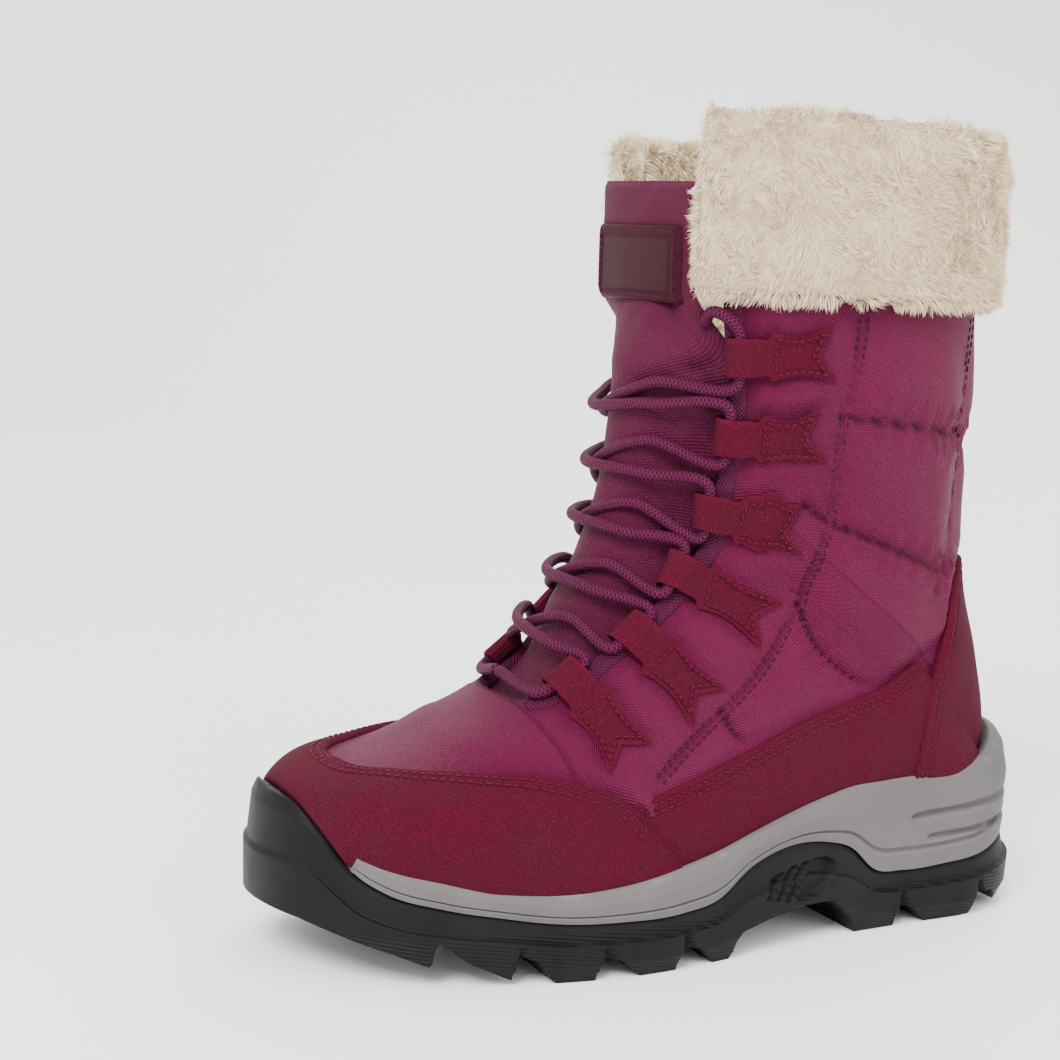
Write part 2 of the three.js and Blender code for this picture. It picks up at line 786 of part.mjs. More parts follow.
function makeOutsole(cup) {
  const under = groundLine.map(([share, up]) => [lengthwise(share), up * lugDepth]);
  const top = profile(rubberTop).reverse();
  const sawtooth = sidePrism([...under, ...top]);
  const shell = rubberBlock(-sideGapDepth).subtract(rubberBlock(sideGapDepth));
  const gaps = joined(sideGaps.map((share) => {
    const y = lengthwise(share);
    const rise = lugDepth * sideGapRise;
    return sidePrism([
      [y, -lugDepth],
      [y + sideGapWide, -lugDepth],
      [y + sideGapWide / 2, rise / 2],
      [y + sideGapWide / 8, rise],
      [y, rise],
    ]);
  })).intersect(shell);
  const channel = sidePrism([
    [lengthwise(channelFrom), -lugDepth],
    [lengthwise(channelTo), -lugDepth],
    [lengthwise(channelTo), lugDepth],
    [lengthwise(channelFrom), lugDepth],
  ], -channelHalf, channelHalf);
  const recess = makeArchRecess();
  return rubberBlock(0).intersect(sawtooth).subtract(cup).subtract(gaps).subtract(channel).subtract(recess);
}

function makeArchRecess() {
  const place = ([share, up]) => [lengthwise(share), up * outsoleHeight];
  const shell = rubberBlock(-archDepth).subtract(rubberBlock(archDepth));
  const ribs = joined(archRibs.map((share) => sidePrism([
    [share - archRibLean - archRibHalf, 0.5],
    [share - archRibLean + archRibHalf, 0.5],
    [share + archRibLean + archRibHalf, 1.8],
    [share + archRibLean - archRibHalf, 1.8],
  ].map(place))));
  return sidePrism(archRecess.map(place)).subtract(ribs).intersect(shell);
}

// The insole lies on the bed inside the wall
function makeInsole() {
  const bottom = (share) => bedHeight(share) + seatGap;
  const top = (share) => bedHeight(share) + seatGap + insoleThickness;
  return formSolid(-upperWall - insoleGap, skirt).intersect(band(bottom, top));
}

// The tongue follows the inside of the throat, then comes forward and lies flat above the laces
const tongueStops = [
  0.405, 0.44, 0.49, 0.54, 0.59, 0.64, 0.69, 0.735, 0.775, 0.81, 0.845, 0.87, 0.89, 0.902, 0.914, 0.926,
  0.942, 0.958, 0.985,
];
const tongueTopHalf = 25;
const tongueTopShift = -4;
const tongueTopForward = 5.5;
const tongueTopSkew = 0.1;
const tongueTopCrown = 2.2;
const tongueBulge = 5;

function tonguePoint(v, share, offset) {
  const wide = Math.PI * (throat.half(v) + 0.05);
  const narrow = Math.PI * (throat.half(v) - 0.05);
  const half = mix(wide, narrow, smoothstep(0.72, 0.8, v));
  const under = -upperWall - liningGap - tongueThickness;
  const depth = mix(under, -tongueThickness * 0.6, smoothstep(0.875, 0.93, v));
  const bulge = tongueBulge * (1 - share * share) ** 3 * smoothstep(0.42, 0.6, v) * smoothstep(0.93, 0.86, v);
  const low = offsetPoint(v, share * half, depth + bulge + offset);
  const ridge = formPoint(v, 0);
  const flat = new THREE.Vector3(
    tongueTopShift + share * tongueTopHalf,
    ridge.y + tongueTopForward + tongueTopSkew * share * tongueTopHalf
      + tongueTopCrown * share * share + tongueThickness / 2 - offset,
    ridge.z,
  );
  return low.lerp(flat, smoothstep(0.888, 0.93, v));
}

function makeTongue() {
  return sheet(tongueStops.length, tongueColumns, (i, j, layer) => {
    const share = mix(-1, 1, j / (tongueColumns - 1));
    return tonguePoint(tongueStops[i], share, layer * tongueThickness);
  });
}

const tongueColumns = 7;
const patchStops = tongueStops.slice(14, 18);
const patchMedial = -0.92;
const patchLateral = 0.86;
function makePatch() {
  return sheet(patchStops.length, tongueColumns, (i, j, layer) => {
    const share = mix(patchMedial, patchLateral, j / (tongueColumns - 1));
    return tonguePoint(patchStops[i], share, tongueThickness + seatGap + layer * patchThickness);
  });
}

// The fur cuff hooks over the shaft's top edge. Each row of its section gives a height above the
// shaft's top edge and an offset from the form.
const cuffInside = -upperWall - liningGap;
const cuffSection = [
  [0.05 * cuffRise, cuffInside],
  [-0.93 * cuffLap, cuffInside],
  [-cuffLap, cuffInside - 0.27 * cuffPile],
  [-0.4 * cuffLap, cuffInside - 0.43 * cuffPile],
  [0.32 * cuffRise, cuffInside - 0.375 * cuffPile],
  [0.84 * cuffRise, -0.365 * cuffPile],
  [cuffRise, 0.156 * cuffPile],
  [0.76 * cuffRise, 0.677 * cuffPile],
  [0.16 * cuffRise, 0.94 * cuffPile],
  [-0.69 * cuffDrop, cuffPile],
  [-0.94 * cuffDrop, 0.83 * cuffPile],
  [-cuffDrop, 0.47 * cuffPile],
  [-0.99 * cuffDrop, liningGap],
  [0.05 * cuffRise, liningGap],
];
const cuffLateral = 0.19;
const cuffMedial = 0.215;
const cuffStations = 19;
const cuffBackDip = 0.29;
const lockRadius = 3.2;
const lockLength = 7;
const lockSunk = 2;
const lockRings = [
  { height: -0.87 * cuffDrop, count: 17, phase: 0, down: 1.2 },
  { height: -0.55 * cuffDrop, count: 12, phase: 0.5, down: 0.7 },
  { height: -0.18 * cuffDrop, count: 11, phase: 0.2, down: 0.6 },
];

// A point at a height over the shaft's top edge; turn runs from 0 at the lateral end to 1 at the medial
function cuffPoint(turn, height, offset) {
  const full = Math.PI * 2;
  const raw = mix(Math.PI * cuffLateral, full - Math.PI * cuffMedial, turn);
  const angle = raw > Math.PI ? raw - full : raw;
  const dip = height > 0 ? cuffBackDip * smoothstep(0.1, 0.5, 0.5 - Math.abs(turn - 0.5)) : 0;
  const base = offsetPoint(1, angle, offset);
  const lower = offsetPoint(0.93, angle, offset);
  const slope = base.clone().sub(lower).divideScalar(base.z - lower.z);
  return base.addScaledVector(slope, height * (1 - dip));
}

function makeCuff() {
  const builder = new MeshBuilder();
  const count = cuffSection.length;
  const rings = [];
  for (let i = 0; i <= cuffStations; i += 1) {
    rings.push(cuffSection.map(([height, offset]) => builder.point(cuffPoint(i / cuffStations, height, offset))));
  }
  for (let i = 0; i < cuffStations; i += 1) {
    for (let k = 0; k < count; k += 1) {
      const next = (k + 1) % count;
      builder.quad(rings[i][k], rings[i][next], rings[i + 1][next], rings[i + 1][k]);
    }
  }
  const flat = cuffSection.map(([height, offset]) => new THREE.Vector2(offset, height));
  THREE.ShapeUtils.triangulateShape(flat, []).forEach(([a, b, c]) => {
    builder.triangle(rings[0][a], rings[0][b], rings[0][c]);
    builder.triangle(rings[cuffStations][a], rings[cuffStations][c], rings[cuffStations][b]);
  });
  return lockRings.reduce((cuff, ring) => cuff.add(makeLocks(ring)), solid(builder.geometry()));
}

// Tapered locks of fur that stand out of the cuff and point down
function makeLocks(ring) {
  const locks = [];
  for (let k = 0; k < ring.count; k += 1) {
    const turn = (k + 0.5 + ring.phase * 0.5) / (ring.count + 0.5);
    const root = cuffPoint(turn, ring.height, cuffPile - lockSunk);
    const outside = cuffPoint(turn, ring.height, cuffPile);
    const outward = outside.clone().sub(root).setZ(0).normalize();
    const lean = 0.6 + 0.4 * Math.sin(k * 2.4 + ring.height);
    const direction = new THREE.Vector3(0, 0, -ring.down).addScaledVector(outward, lean).normalize();
    const cone = new THREE.ConeGeometry(lockRadius, lockLength, 3, 1);
    cone.translate(0, lockLength / 2, 0);
    cone.applyQuaternion(new THREE.Quaternion().setFromUnitVectors(new THREE.Vector3(0, 1, 0), direction));
    cone.translate(root.x, root.y, root.z);
    locks.push(solid(cone));
  }
  return joined(locks);
}

// Lace tabs, from the top pair down. fromV and fromTurn give the loop end at the throat,
// toV and toTurn the forked end, where a turn is a share of half a turn round the form.
const tabRows = [
  { fromV: 0.901, fromTurn: 0.25, toV: 0.924, toTurn: 0.436 },
  { fromV: 0.84, fromTurn: 0.235, toV: 0.886, toTurn: 0.43 },
  { fromV: 0.73, fromTurn: 0.205, toV: 0.817, toTurn: 0.388 },
  { fromV: 0.634, fromTurn: 0.19, toV: 0.672, toTurn: 0.362 },
  { fromV: 0.541, fromTurn: 0.18, toV: 0.541, toTurn: 0.392 },
  { fromV: 0.453, fromTurn: 0.118, toV: 0.448, toTurn: 0.352 },
];
const tabHalfWidth = 6.2;
const tunnelRadius = laceDiameter / 2 + tunnelGap;
const tunnelShare = 0.13;
const tunnelOffset = tabGap + tabSkin + tunnelRadius;
const loopTop = tunnelOffset + tunnelRadius + tabSkin;
const plateTop = tabGap + tabThickness;
const tabStations = [
  { share: 0, wide: 1, outer: loopTop - tabSkin / 2, notch: 0 },
  { share: 0.24, wide: 1, outer: loopTop, notch: 0 },
  { share: 0.4, wide: 1, outer: plateTop, notch: 0 },
  { share: 0.64, wide: 0.82, outer: plateTop, notch: 0.05 },
  { share: 0.82, wide: 1.05, outer: plateTop, notch: -0.07 },
  { share: 1, wide: 1.36, outer: plateTop, notch: -0.16 },
];

// A point of the surface that lies sideways of the tab's axis, in section and angle
function tabPlace(row, side, share, across) {
  const v = mix(row.fromV, row.toV, share);
  const angle = side * Math.PI * mix(row.fromTurn, row.toTurn, share);
  const stepV = 0.004;
  const stepA = 0.03;
  const alongV = formPoint(v + stepV, angle).sub(formPoint(v - stepV, angle)).divideScalar(2 * stepV);
  const alongA = formPoint(v, angle + stepA).sub(formPoint(v, angle - stepA)).divideScalar(2 * stepA);
  const axis = alongV.clone().multiplyScalar(row.toV - row.fromV);
  axis.addScaledVector(alongA, side * Math.PI * (row.toTurn - row.fromTurn));
  const sideways = axis.cross(formNormal(v, angle)).normalize().multiplyScalar(across);
  const vv = alongV.dot(alongV);
  const va = alongV.dot(alongA);
  const aa = alongA.dot(alongA);
  const det = vv * aa - va * va;
  const sv = alongV.dot(sideways);
  const sa = alongA.dot(sideways);
  return { v: v + (sv * aa - sa * va) / det, angle: angle + (sa * vv - sv * va) / det };
}

function tabPoint(row, side, share, across, offset) {
  const place = tabPlace(row, side, share, across);
  return offsetPoint(place.v, place.angle, offset);
}

function makeTab(row, side) {
  const plate = sheet(tabStations.length, 3, (i, j, layer) => {
    const station = tabStations[i];
    const share = station.share + (j === 1 ? station.notch : 0);
    const across = (j - 1) * tabHalfWidth * station.wide;
    return tabPoint(row, side, share, across, layer ? station.outer : tabGap);
  });
  const reachOut = tabHalfWidth * 1.3;
  const path = new THREE.LineCurve3(
    tabPoint(row, side, tunnelShare, -reachOut, tunnelOffset),
    tabPoint(row, side, tunnelShare, reachOut, tunnelOffset),
  );
  return plate.subtract(cord(path, tunnelRadius, 1));
}

// A round cord along a path
const cordSides = 6;
function cord(path, radius, steps) {
  const section = new THREE.Shape();
  for (let k = 0; k < cordSides; k += 1) {
    const turn = (Math.PI * 2 * k) / cordSides;
    const x = Math.cos(turn) * radius;
    const y = Math.sin(turn) * radius;
    if (k === 0) section.moveTo(x, y);
    else section.lineTo(x, y);
  }
  return solid(new THREE.ExtrudeGeometry(section, { extrudePath: path, steps, bevelEnabled: false }));
}

// The laces run from tab to tab over the tongue
const laceRise = 6.5;
const laceLead = 3.5;
const laceSteps = 6;
const laceOver = laceDiameter * 0.42;
const barDip = -0.045;

// A mouth of a tab's tunnel, clear of it, or a point further out; up is 1 for the upper mouth, -1 for the lower
function mouth(row, side, up, lead) {
  const across = -side * up * (tabHalfWidth + laceGap + lead);
  return tabPoint(row, side, tunnelShare, across, tunnelOffset);
}

// One strand from a tab to the tab across; over lifts its middle, so that one strand passes over the other
function laceStrand(lower, lowerSide, upper, lowerUp, over) {
  const upperSide = -lowerSide;
  const middle = offsetPoint((lower.fromV + upper.fromV) / 2 + laceDip(lowerUp), 0, laceRise + over);
  const path = new THREE.CatmullRomCurve3([
    mouth(lower, lowerSide, lowerUp, 0),
    mouth(lower, lowerSide, lowerUp, laceLead),
    middle,
    mouth(upper, upperSide, -1, laceLead),
    mouth(upper, upperSide, -1, 0),
  ]);
  return cord(path, laceDiameter / 2, laceSteps);
}

// The bar joins two lower mouths and hangs down the vamp between them
function laceDip(lowerUp) {
  return lowerUp < 0 ? barDip : 0;
}

const boot = new THREE.Group();
function piece(name, shape, colour, roughness) {
  const material = new THREE.MeshStandardMaterial({ color: colour, roughness, metalness: 0 });
  const mesh = new THREE.Mesh(fromSolid(shape), material);
  mesh.name = name;
  boot.add(mesh);
}

const nylonColour = 0x8a2c5c;
const suedeColour = 0x74142f;
const foamColour = 0x9a9696;
const rubberColour = 0x322e30;
const furColour = 0xe2d6c4;
const laceColour = 0x6e2350;
const liningColour = 0xd8cbb8;

const cup = aboveBedCutter();
piece("outsole", makeOutsole(cup), rubberColour, 0.8);
piece("midsole", makeMidsole(cup), foamColour, 0.7);
piece("insole", makeInsole(), liningColour, 0.95);
piece("upper", makeUpper(), nylonColour, 0.6);
piece("toe_guard", makeToeGuard(), suedeColour, 0.95);
piece("side_guard_lateral", makeSideGuard(0, reach), suedeColour, 0.95);
piece("side_guard_medial", makeSideGuard(-reach, 0), suedeColour, 0.95);
piece("heel_counter", makeHeelCounter(), suedeColour, 0.95);
piece("tongue", makeTongue(), nylonColour, 0.6);
piece("tongue_patch", makePatch(), suedeColour, 0.7);
piece("fur_cuff", makeCuff(), furColour, 1);
tabRows.forEach((row, k) => {
  piece(`tab_lateral_${k + 1}`, makeTab(row, 1), suedeColour, 0.95);
  piece(`tab_medial_${k + 1}`, makeTab(row, -1), suedeColour, 0.95);
});
piece("lace_bar", laceStrand(tabRows[5], 1, tabRows[5], -1, 0), laceColour, 0.8);
for (let k = 1; k < tabRows.length; k += 1) {
  const strands = [1, -1].map((side) => laceStrand(tabRows[k], side, tabRows[k - 1], 1, side * laceOver));
  piece(`lace_cross_${k}`, joined(strands), laceColour, 0.8);
}

// The boot stands on the floor with its box centred on the origin
const box = new THREE.Box3().setFromObject(boot);
const centre = box.getCenter(new THREE.Vector3());
boot.position.set(-centre.x, -centre.y, -box.min.z);

export default boot;
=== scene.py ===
"""Left snow boot with a fur cuff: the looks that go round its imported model.

Lengths in the code are millimetres until a mesh is made, and the toe points towards -Y.
"""

import math

import bpy
import numpy as np
from bpy.props import FloatProperty, FloatVectorProperty, IntProperty, PointerProperty
from mathutils import Matrix


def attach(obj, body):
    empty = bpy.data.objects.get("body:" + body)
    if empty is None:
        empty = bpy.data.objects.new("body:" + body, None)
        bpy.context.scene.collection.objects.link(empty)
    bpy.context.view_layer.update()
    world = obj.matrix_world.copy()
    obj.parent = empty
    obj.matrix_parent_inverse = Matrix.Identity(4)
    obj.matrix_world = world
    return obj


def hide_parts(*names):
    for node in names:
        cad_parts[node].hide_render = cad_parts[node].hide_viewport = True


bl_info = {
    "name": "Snow boot",
    "version": (1, 0, 0),
    "blender": (4, 5, 0),
    "location": "3D View > Sidebar > Snow boot",
    "description": "Builds a quilted snow boot with suede overlays, laces and a fur cuff",
    "category": "Object",
}

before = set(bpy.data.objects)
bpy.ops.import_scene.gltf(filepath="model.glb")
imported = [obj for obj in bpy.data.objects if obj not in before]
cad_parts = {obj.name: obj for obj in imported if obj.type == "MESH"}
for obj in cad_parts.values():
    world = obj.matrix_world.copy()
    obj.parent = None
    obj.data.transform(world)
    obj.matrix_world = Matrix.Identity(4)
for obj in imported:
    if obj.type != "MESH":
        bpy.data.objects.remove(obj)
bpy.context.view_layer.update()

MM = 0.001
# Driving sizes in millimetres, the same as the solids have
SOLE_LENGTH = 275.0
BALL_WIDTH = 104.0
INSTEP = 96.0
HEEL = 44.8
SHAFT = 249.0
BED = 24.0
SPRING = 14.0
OUTSOLE = 18.0
CUP_DEPTH = 6.0
LUG = 6.5
WALL = 3.0
CUP_WALL = 4.6
SEAT = 0.3
LACE_RADIUS = 1.85
TONGUE = 4.0
# From the sizes' own origin to the middle of the box
CENTRING = np.array([0.527338, -0.069, 0.0])


def curve(stops, values):
    """A smooth curve through a table's column, flat beyond its ends."""
    x, y = np.asarray(stops, float), np.asarray(values, float)
    step, slope = np.diff(x), np.diff(y) / np.diff(x)
    inner = (slope[:-1] * step[1:] + slope[1:] * step[:-1]) / (step[:-1] + step[1:])
    tangent = np.r_[slope[0], inner, slope[-1]]

    def at(value):
        value = np.clip(np.asarray(value, float), x[0], x[-1])
        i = np.clip(np.searchsorted(x, value, side="right") - 1, 0, len(x) - 2)
        t = (value - x[i]) / step[i]
        start = (1 + 2 * t) * (1 - t) ** 2 * y[i] + t * (1 - t) ** 2 * step[i] * tangent[i]
        end = t * t * (3 - 2 * t) * y[i + 1] - t * t * (1 - t) * step[i] * tangent[i + 1]
        return start + end

    return at


def table(names, rows):
    """One curve for each named column, over the first column."""
    data = np.array(rows, float)
    return {name: curve(data[:, 0], data[:, k + 1]) for k, name in enumerate(names)}


def mix(a, b, t):
    """From a to b, by the share t."""
    return a + (b - a) * t


def smoothstep(low, high, value):
    """Rises softly from 0 at low to 1 at high, which may be the smaller one."""
    t = np.clip((value - low) / (high - low), 0, 1)
    return t * t * (3 - 2 * t)


def soft(distance, width):
    """A soft bump that is 1 at no distance and fades with the width."""
    return np.exp(-(distance / width) ** 2)


def bullnose(share):
    """A quarter round that rises from 0 to 1 across an edge."""
    return np.sqrt(np.clip(1 - (1 - np.clip(share, 0, 1)) ** 2, 0, 1))


# Along the sole, as shares of the ball's width: half the width and the middle line's sideways shift
OUTLINE = table(["half", "shift"], [
    (0, 0.44, -0.05), (0.05, 0.438, -0.032), (0.1, 0.436, -0.014), (0.155, 0.44, 0.002),
    (0.2, 0.45, 0.01), (0.26, 0.478, 0.016), (0.33, 0.5, 0.022), (0.4, 0.497, 0.03),
    (0.47, 0.47, 0.036), (0.55, 0.43, 0.034), (0.65, 0.391, 0.024), (0.75, 0.375, 0.014),
    (0.86, 0.37, 0.004), (1, 0.37, 0),
])
# Along the sole: shares of the toe spring, the heel's rise, the cup's depth and the outsole's height,
# and the bumper's height as a share of the rim's
SOLE = table(["spring", "heel", "cup", "rubber", "bumper"], [
    (0, 1, 0, 1.5, 2.85, 1.091), (0.03, 0.94, 0, 1.3, 2.8, 1.121), (0.05, 0.89, 0, 1.1, 2.4, 1.003),
    (0.075, 0.78, 0, 0.9, 1.86, 0.83), (0.1, 0.64, 0, 0.72, 1.6, 0.773), (0.16, 0.36, 0, 0.65, 1.34, 0.732),
    (0.22, 0.14, 0, 0.67, 1.17, 0.702), (0.29, 0, 0, 0.67, 1.02, 0.655), (0.36, 0, 0.015, 0.75, 0.98, 0.612),
    (0.437, 0, 0.145, 0.9, 1, 0.555), (0.49, 0, 0.275, 1, 1.15, 0.58), (0.53, 0, 0.41, 1.05, 1.56, 0.723),
    (0.57, 0, 0.545, 1.1, 1.78, 0.764), (0.65, 0, 0.8, 1.13, 1.79, 0.679), (0.69, 0, 0.905, 1.12, 1.6, 0.581),
    (0.725, 0, 0.94, 1.05, 1.15, 0.415), (0.77, 0, 0.985, 0.98, 1.05, 0.375), (0.845, 0, 1, 1, 1.09, 0.386),
    (0.895, 0, 1, 1.45, 1.16, 0.39), (0.94, 0, 1, 2.35, 1.3, 0.397), (1, 0, 1, 3.2, 1.45, 0.408),
])
# Sections of the last, like a fan from the toe to the shaft: where the ridge stands and how high, where
# the base stands and how high, half widths as shares of the ball's width, and how round it is
SECTIONS = table(["ridge_at", "rise", "base_at", "lift", "lateral", "medial", "round"], [
    (0, 0.03, 0.198, 0.03, 0, 0.019, 0.019, 2), (0.05, 0.037, 0.276, 0.04, 0, 0.163, 0.163, 2.2),
    (0.11, 0.062, 0.333, 0.07, 0, 0.284, 0.284, 2.35),
    (0.17, 0.098, 0.371, 0.111, 0, 0.368, 0.368, 2.45),
    (0.23, 0.149, 0.404, 0.165, 0, 0.416, 0.413, 2.45),
    (0.29, 0.204, 0.45, 0.235, 0, 0.452, 0.442, 2.4),
    (0.35, 0.253, 0.515, 0.315, 0, 0.467, 0.447, 2.35),
    (0.41, 0.296, 0.607, 0.402, 0, 0.456, 0.433, 2.3),
    (0.47, 0.335, 0.725, 0.496, 0, 0.429, 0.409, 2.25), (0.53, 0.369, 0.865, 0.595, 0, 0.4, 0.385, 2.2),
    (0.59, 0.395, 1, 0.693, 0, 0.379, 0.365, 2.15), (0.65, 0.413, 1.101, 0.78, 0, 0.367, 0.36, 2.1),
    (0.7, 0.424, 1.19, 0.849, 0, 0.365, 0.36, 2.1), (0.74, 0.429, 1.256, 0.898, 0, 0.367, 0.362, 2.1),
    (0.775, 0.433, 1.31, 0.931, 0, 0.369, 0.363, 2.1), (0.8, 0.435, 1.349, 0.944, 0, 0.372, 0.366, 2.1),
    (0.82, 0.436, 1.384, 0.944, 0.064, 0.375, 0.369, 2.1),
    (0.845, 0.437, 1.434, 0.925, 0.176, 0.381, 0.376, 2.1),
    (0.87, 0.437, 1.492, 0.896, 0.299, 0.389, 0.385, 2.1),
    (0.895, 0.437, 1.558, 0.885, 0.431, 0.4, 0.394, 2.1),
    (0.92, 0.437, 1.636, 0.887, 0.574, 0.412, 0.406, 2.1),
    (0.95, 0.436, 1.756, 0.897, 0.73, 0.423, 0.417, 2.1),
    (0.975, 0.435, 1.876, 0.905, 0.868, 0.429, 0.423, 2.1),
    (1, 0.433, 2, 0.912, 0.995, 0.433, 0.427, 2.1), (1.03, 0.431, 2.14, 0.918, 1.083, 0.436, 0.43, 2.1),
])
# Half the throat's opening by section, as a share of half a turn
THROAT = table(["half"], [
    (0.384, 0), (0.388, 0.05), (0.404, 0.098), (0.434, 0.133), (0.5, 0.176), (0.584, 0.214),
    (0.694, 0.231), (0.811, 0.25), (0.88, 0.262), (0.93, 0.24), (1.03, 0.215),
])["half"]
THROAT_TIP = 0.384
# Feather line: its ends and end rounds as shares of the length, and the section where the last leaves it
FEATHER_FROM, FEATHER_TO = 0.0286, 0.945
FEATHER_TOE, FEATHER_HEEL = 0.205, 0.105
LEAVES_FEATHER = 0.8
# The sole's sideways shift fades out above this height, over this many millimetres
SHIFT_FROM, SHIFT_OVER = 30, 120


def rounded_ends(share, toe, heel):
    """A width that closes in a quarter ellipse over the toe's and the heel's shares."""
    front = np.clip(1 - share / toe, 0, 1)
    back = np.clip(1 - (1 - share) / heel, 0, 1)
    return np.sqrt(1 - front**2) * np.sqrt(1 - back**2)


def along(y):
    """Share of the sole's length at y."""
    return y / SOLE_LENGTH + 0.5


def lengthwise(share):
    """The y of a share of the sole's length."""
    return (np.asarray(share) - 0.5) * SOLE_LENGTH


def bed_height(share):
    """Height of the foot's bed over the floor."""
    s = np.clip(share, 0, 1)
    return BED + SPRING * SOLE["spring"](s) + (HEEL - BED) * SOLE["heel"](s)


def rim_height(share):
    """Height of the midsole's rim over the floor."""
    return bed_height(share) + CUP_DEPTH * SOLE["cup"](np.clip(share, 0, 1))


def rubber_top(share):
    """Height of the outsole's top edge, which turns into the bumper at the toe."""
    s = np.clip(share, 0, 1)
    return mix(rim_height(share) * SOLE["bumper"](s), OUTSOLE * SOLE["rubber"](s), smoothstep(0.1, 0.22, s))


def all_round(v):
    """Whether a section goes all the way round the shaft."""
    return v >= LEAVES_FEATHER - 1e-9


def section_end(v, side):
    """Angle where a section meets the feather line, or half a turn above it."""
    base_y = lengthwise(SECTIONS["base_at"](v))
    width = BALL_WIDTH * np.where(side > 0, SECTIONS["lateral"](v), SECTIONS["medial"](v))
    half = BALL_WIDTH * OUTLINE["half"](np.clip(along(base_y), 0, 1)) - CUP_WALL
    share = np.clip((along(base_y) - FEATHER_FROM) / (FEATHER_TO - FEATHER_FROM), 0, 1)
    feather = np.minimum(half * rounded_ends(share, FEATHER_TOE, FEATHER_HEEL), width * 0.999)
    end = math.pi - np.arcsin(np.clip(feather / width, 0, 1) ** (SECTIONS["round"](v) / 2))
    return np.where(all_round(v), math.pi, end)


def form_point(v, angle):
    """Points of the last. The angle runs from 0 at the ridge, plus to the lateral side."""
    v, angle = np.broadcast_arrays(np.asarray(v, float), np.asarray(angle, float))
    side = np.where(angle < 0, -1.0, 1.0)
    rise, power = SECTIONS["rise"](v), 2 / SECTIONS["round"](v)
    ridge_y, base_y = lengthwise(SECTIONS["ridge_at"](v)), lengthwise(SECTIONS["base_at"](v))
    ridge_z = BED + INSTEP * np.minimum(rise, 1) + (SHAFT - BED - INSTEP) * np.maximum(rise - 1, 0)
    base_z = bed_height(along(base_y)) + SEAT + SECTIONS["lift"](v) * (SHAFT - HEEL - SEAT)
    width = BALL_WIDTH * np.where(side > 0, SECTIONS["lateral"](v), SECTIONS["medial"](v))
    end = section_end(v, side)
    turn = np.minimum(np.abs(angle), end)

    def flat(a):
        return np.sign(np.cos(a)) * np.abs(np.cos(a)) ** power

    depth = (1 - flat(turn)) / (1 - flat(end))
    out = np.where(turn > math.pi - 1e-9, 0, width * np.abs(np.sin(turn)) ** power)
    y, z = mix(ridge_y, base_y, depth), mix(ridge_z, base_z, depth)
    fade = np.clip(1 - (z - SHIFT_FROM) / SHIFT_OVER, 0, 1)
    shift = BALL_WIDTH * OUTLINE["shift"](np.clip(along(y), 0, 1)) * fade
    return np.stack([shift + side * out, y, z], -1)


def unit(vectors):
    """Vectors at a length of one."""
    return vectors / np.maximum(np.linalg.norm(vectors, axis=-1, keepdims=True), 1e-9)


def form_normal(v, angle):
    """Outward directions of the last, from points a small step apart."""
    v, angle = np.broadcast_arrays(np.asarray(v, float), np.asarray(angle, float))
    step_v, step = 0.003, 0.02
    length = form_point(np.minimum(v + step_v, 1.03), angle) - form_point(np.maximum(v - step_v, 0), angle)
    end = section_end(v, np.where(angle < 0, -1, 1))
    near, ring, plus = np.abs(angle) > end - step, all_round(v), angle > 0
    low = np.where(near, np.where(ring, end - step, np.where(plus, end - 2 * step, -end)), angle - step)
    high = np.where(near, np.where(ring, step - end, np.where(plus, end, 2 * step - end)), angle + step)
    return unit(np.cross(form_point(v, high) - form_point(v, low), length))


def surface(v, turn, offset=0.0):
    """Points at an offset from the last; turn is a share of half a turn."""
    angle = np.asarray(turn) * math.pi
    return form_point(v, angle) + form_normal(v, angle) * np.asarray(offset)[..., None]


def lattice_noise(points, size, seed):
    """Smooth noise from -1 to 1 over points in millimetres."""
    cells = 24
    lattice = np.random.default_rng(seed).uniform(-1, 1, (cells, cells, cells))
    cell = points / size
    base = np.floor(cell).astype(int)
    t = cell - base
    t = t * t * (3 - 2 * t)
    total = 0.0
    for corner in np.ndindex(2, 2, 2):
        weight = np.prod(np.where(np.array(corner), t, 1 - t), axis=-1)
        i, j, k = np.moveaxis((base + corner) % cells, -1, 0)
        total = total + weight * lattice[i, j, k]
    return total


def distances(points):
    """Distance run along a path at each of its points."""
    return np.r_[0, np.cumsum(np.linalg.norm(np.diff(points, axis=0), axis=1))]


def read_off(spots, at, rows):
    """Rows that are known at some distances, read off at others."""
    return np.stack([np.interp(spots, at, column) for column in np.asarray(rows, float).T], -1)


def averaged(points):
    """A path with each point moved to the mean of the five around it."""
    padded = np.pad(points, ((2, 2), (0, 0)), mode="reflect", reflect_type="odd")
    return np.stack([np.convolve(column, np.ones(5) / 5, mode="valid") for column in padded.T], -1)


def resample(points, step):
    """A smooth path through points, with a point every step millimetres."""
    points = np.asarray(points, float)
    at = distances(points)
    fine = np.linspace(0, at[-1], 6 * len(points))
    smooth = np.stack([curve(at, column)(fine) for column in points.T], -1)
    at = distances(smooth)
    spots = np.linspace(0, at[-1], max(int(round(at[-1] / step)) + 1, 2))
    return read_off(spots, at, smooth)


def nearest(points, targets):
    """Distance from each point to the nearest target, and that target's index."""
    chunk = 4000
    flat = points.reshape(-1, 3)
    distance, index = np.empty(len(flat)), np.empty(len(flat), int)
    squares = (targets**2).sum(1)
    for i in range(0, len(flat), chunk):
        block = flat[i:i + chunk]
        gap = (block**2).sum(1)[:, None] + squares - 2 * block @ targets.T
        index[i:i + chunk] = gap.argmin(1)
        distance[i:i + chunk] = np.sqrt(np.maximum(gap.min(1), 0))
    return distance.reshape(points.shape[:-1]), index.reshape(points.shape[:-1])


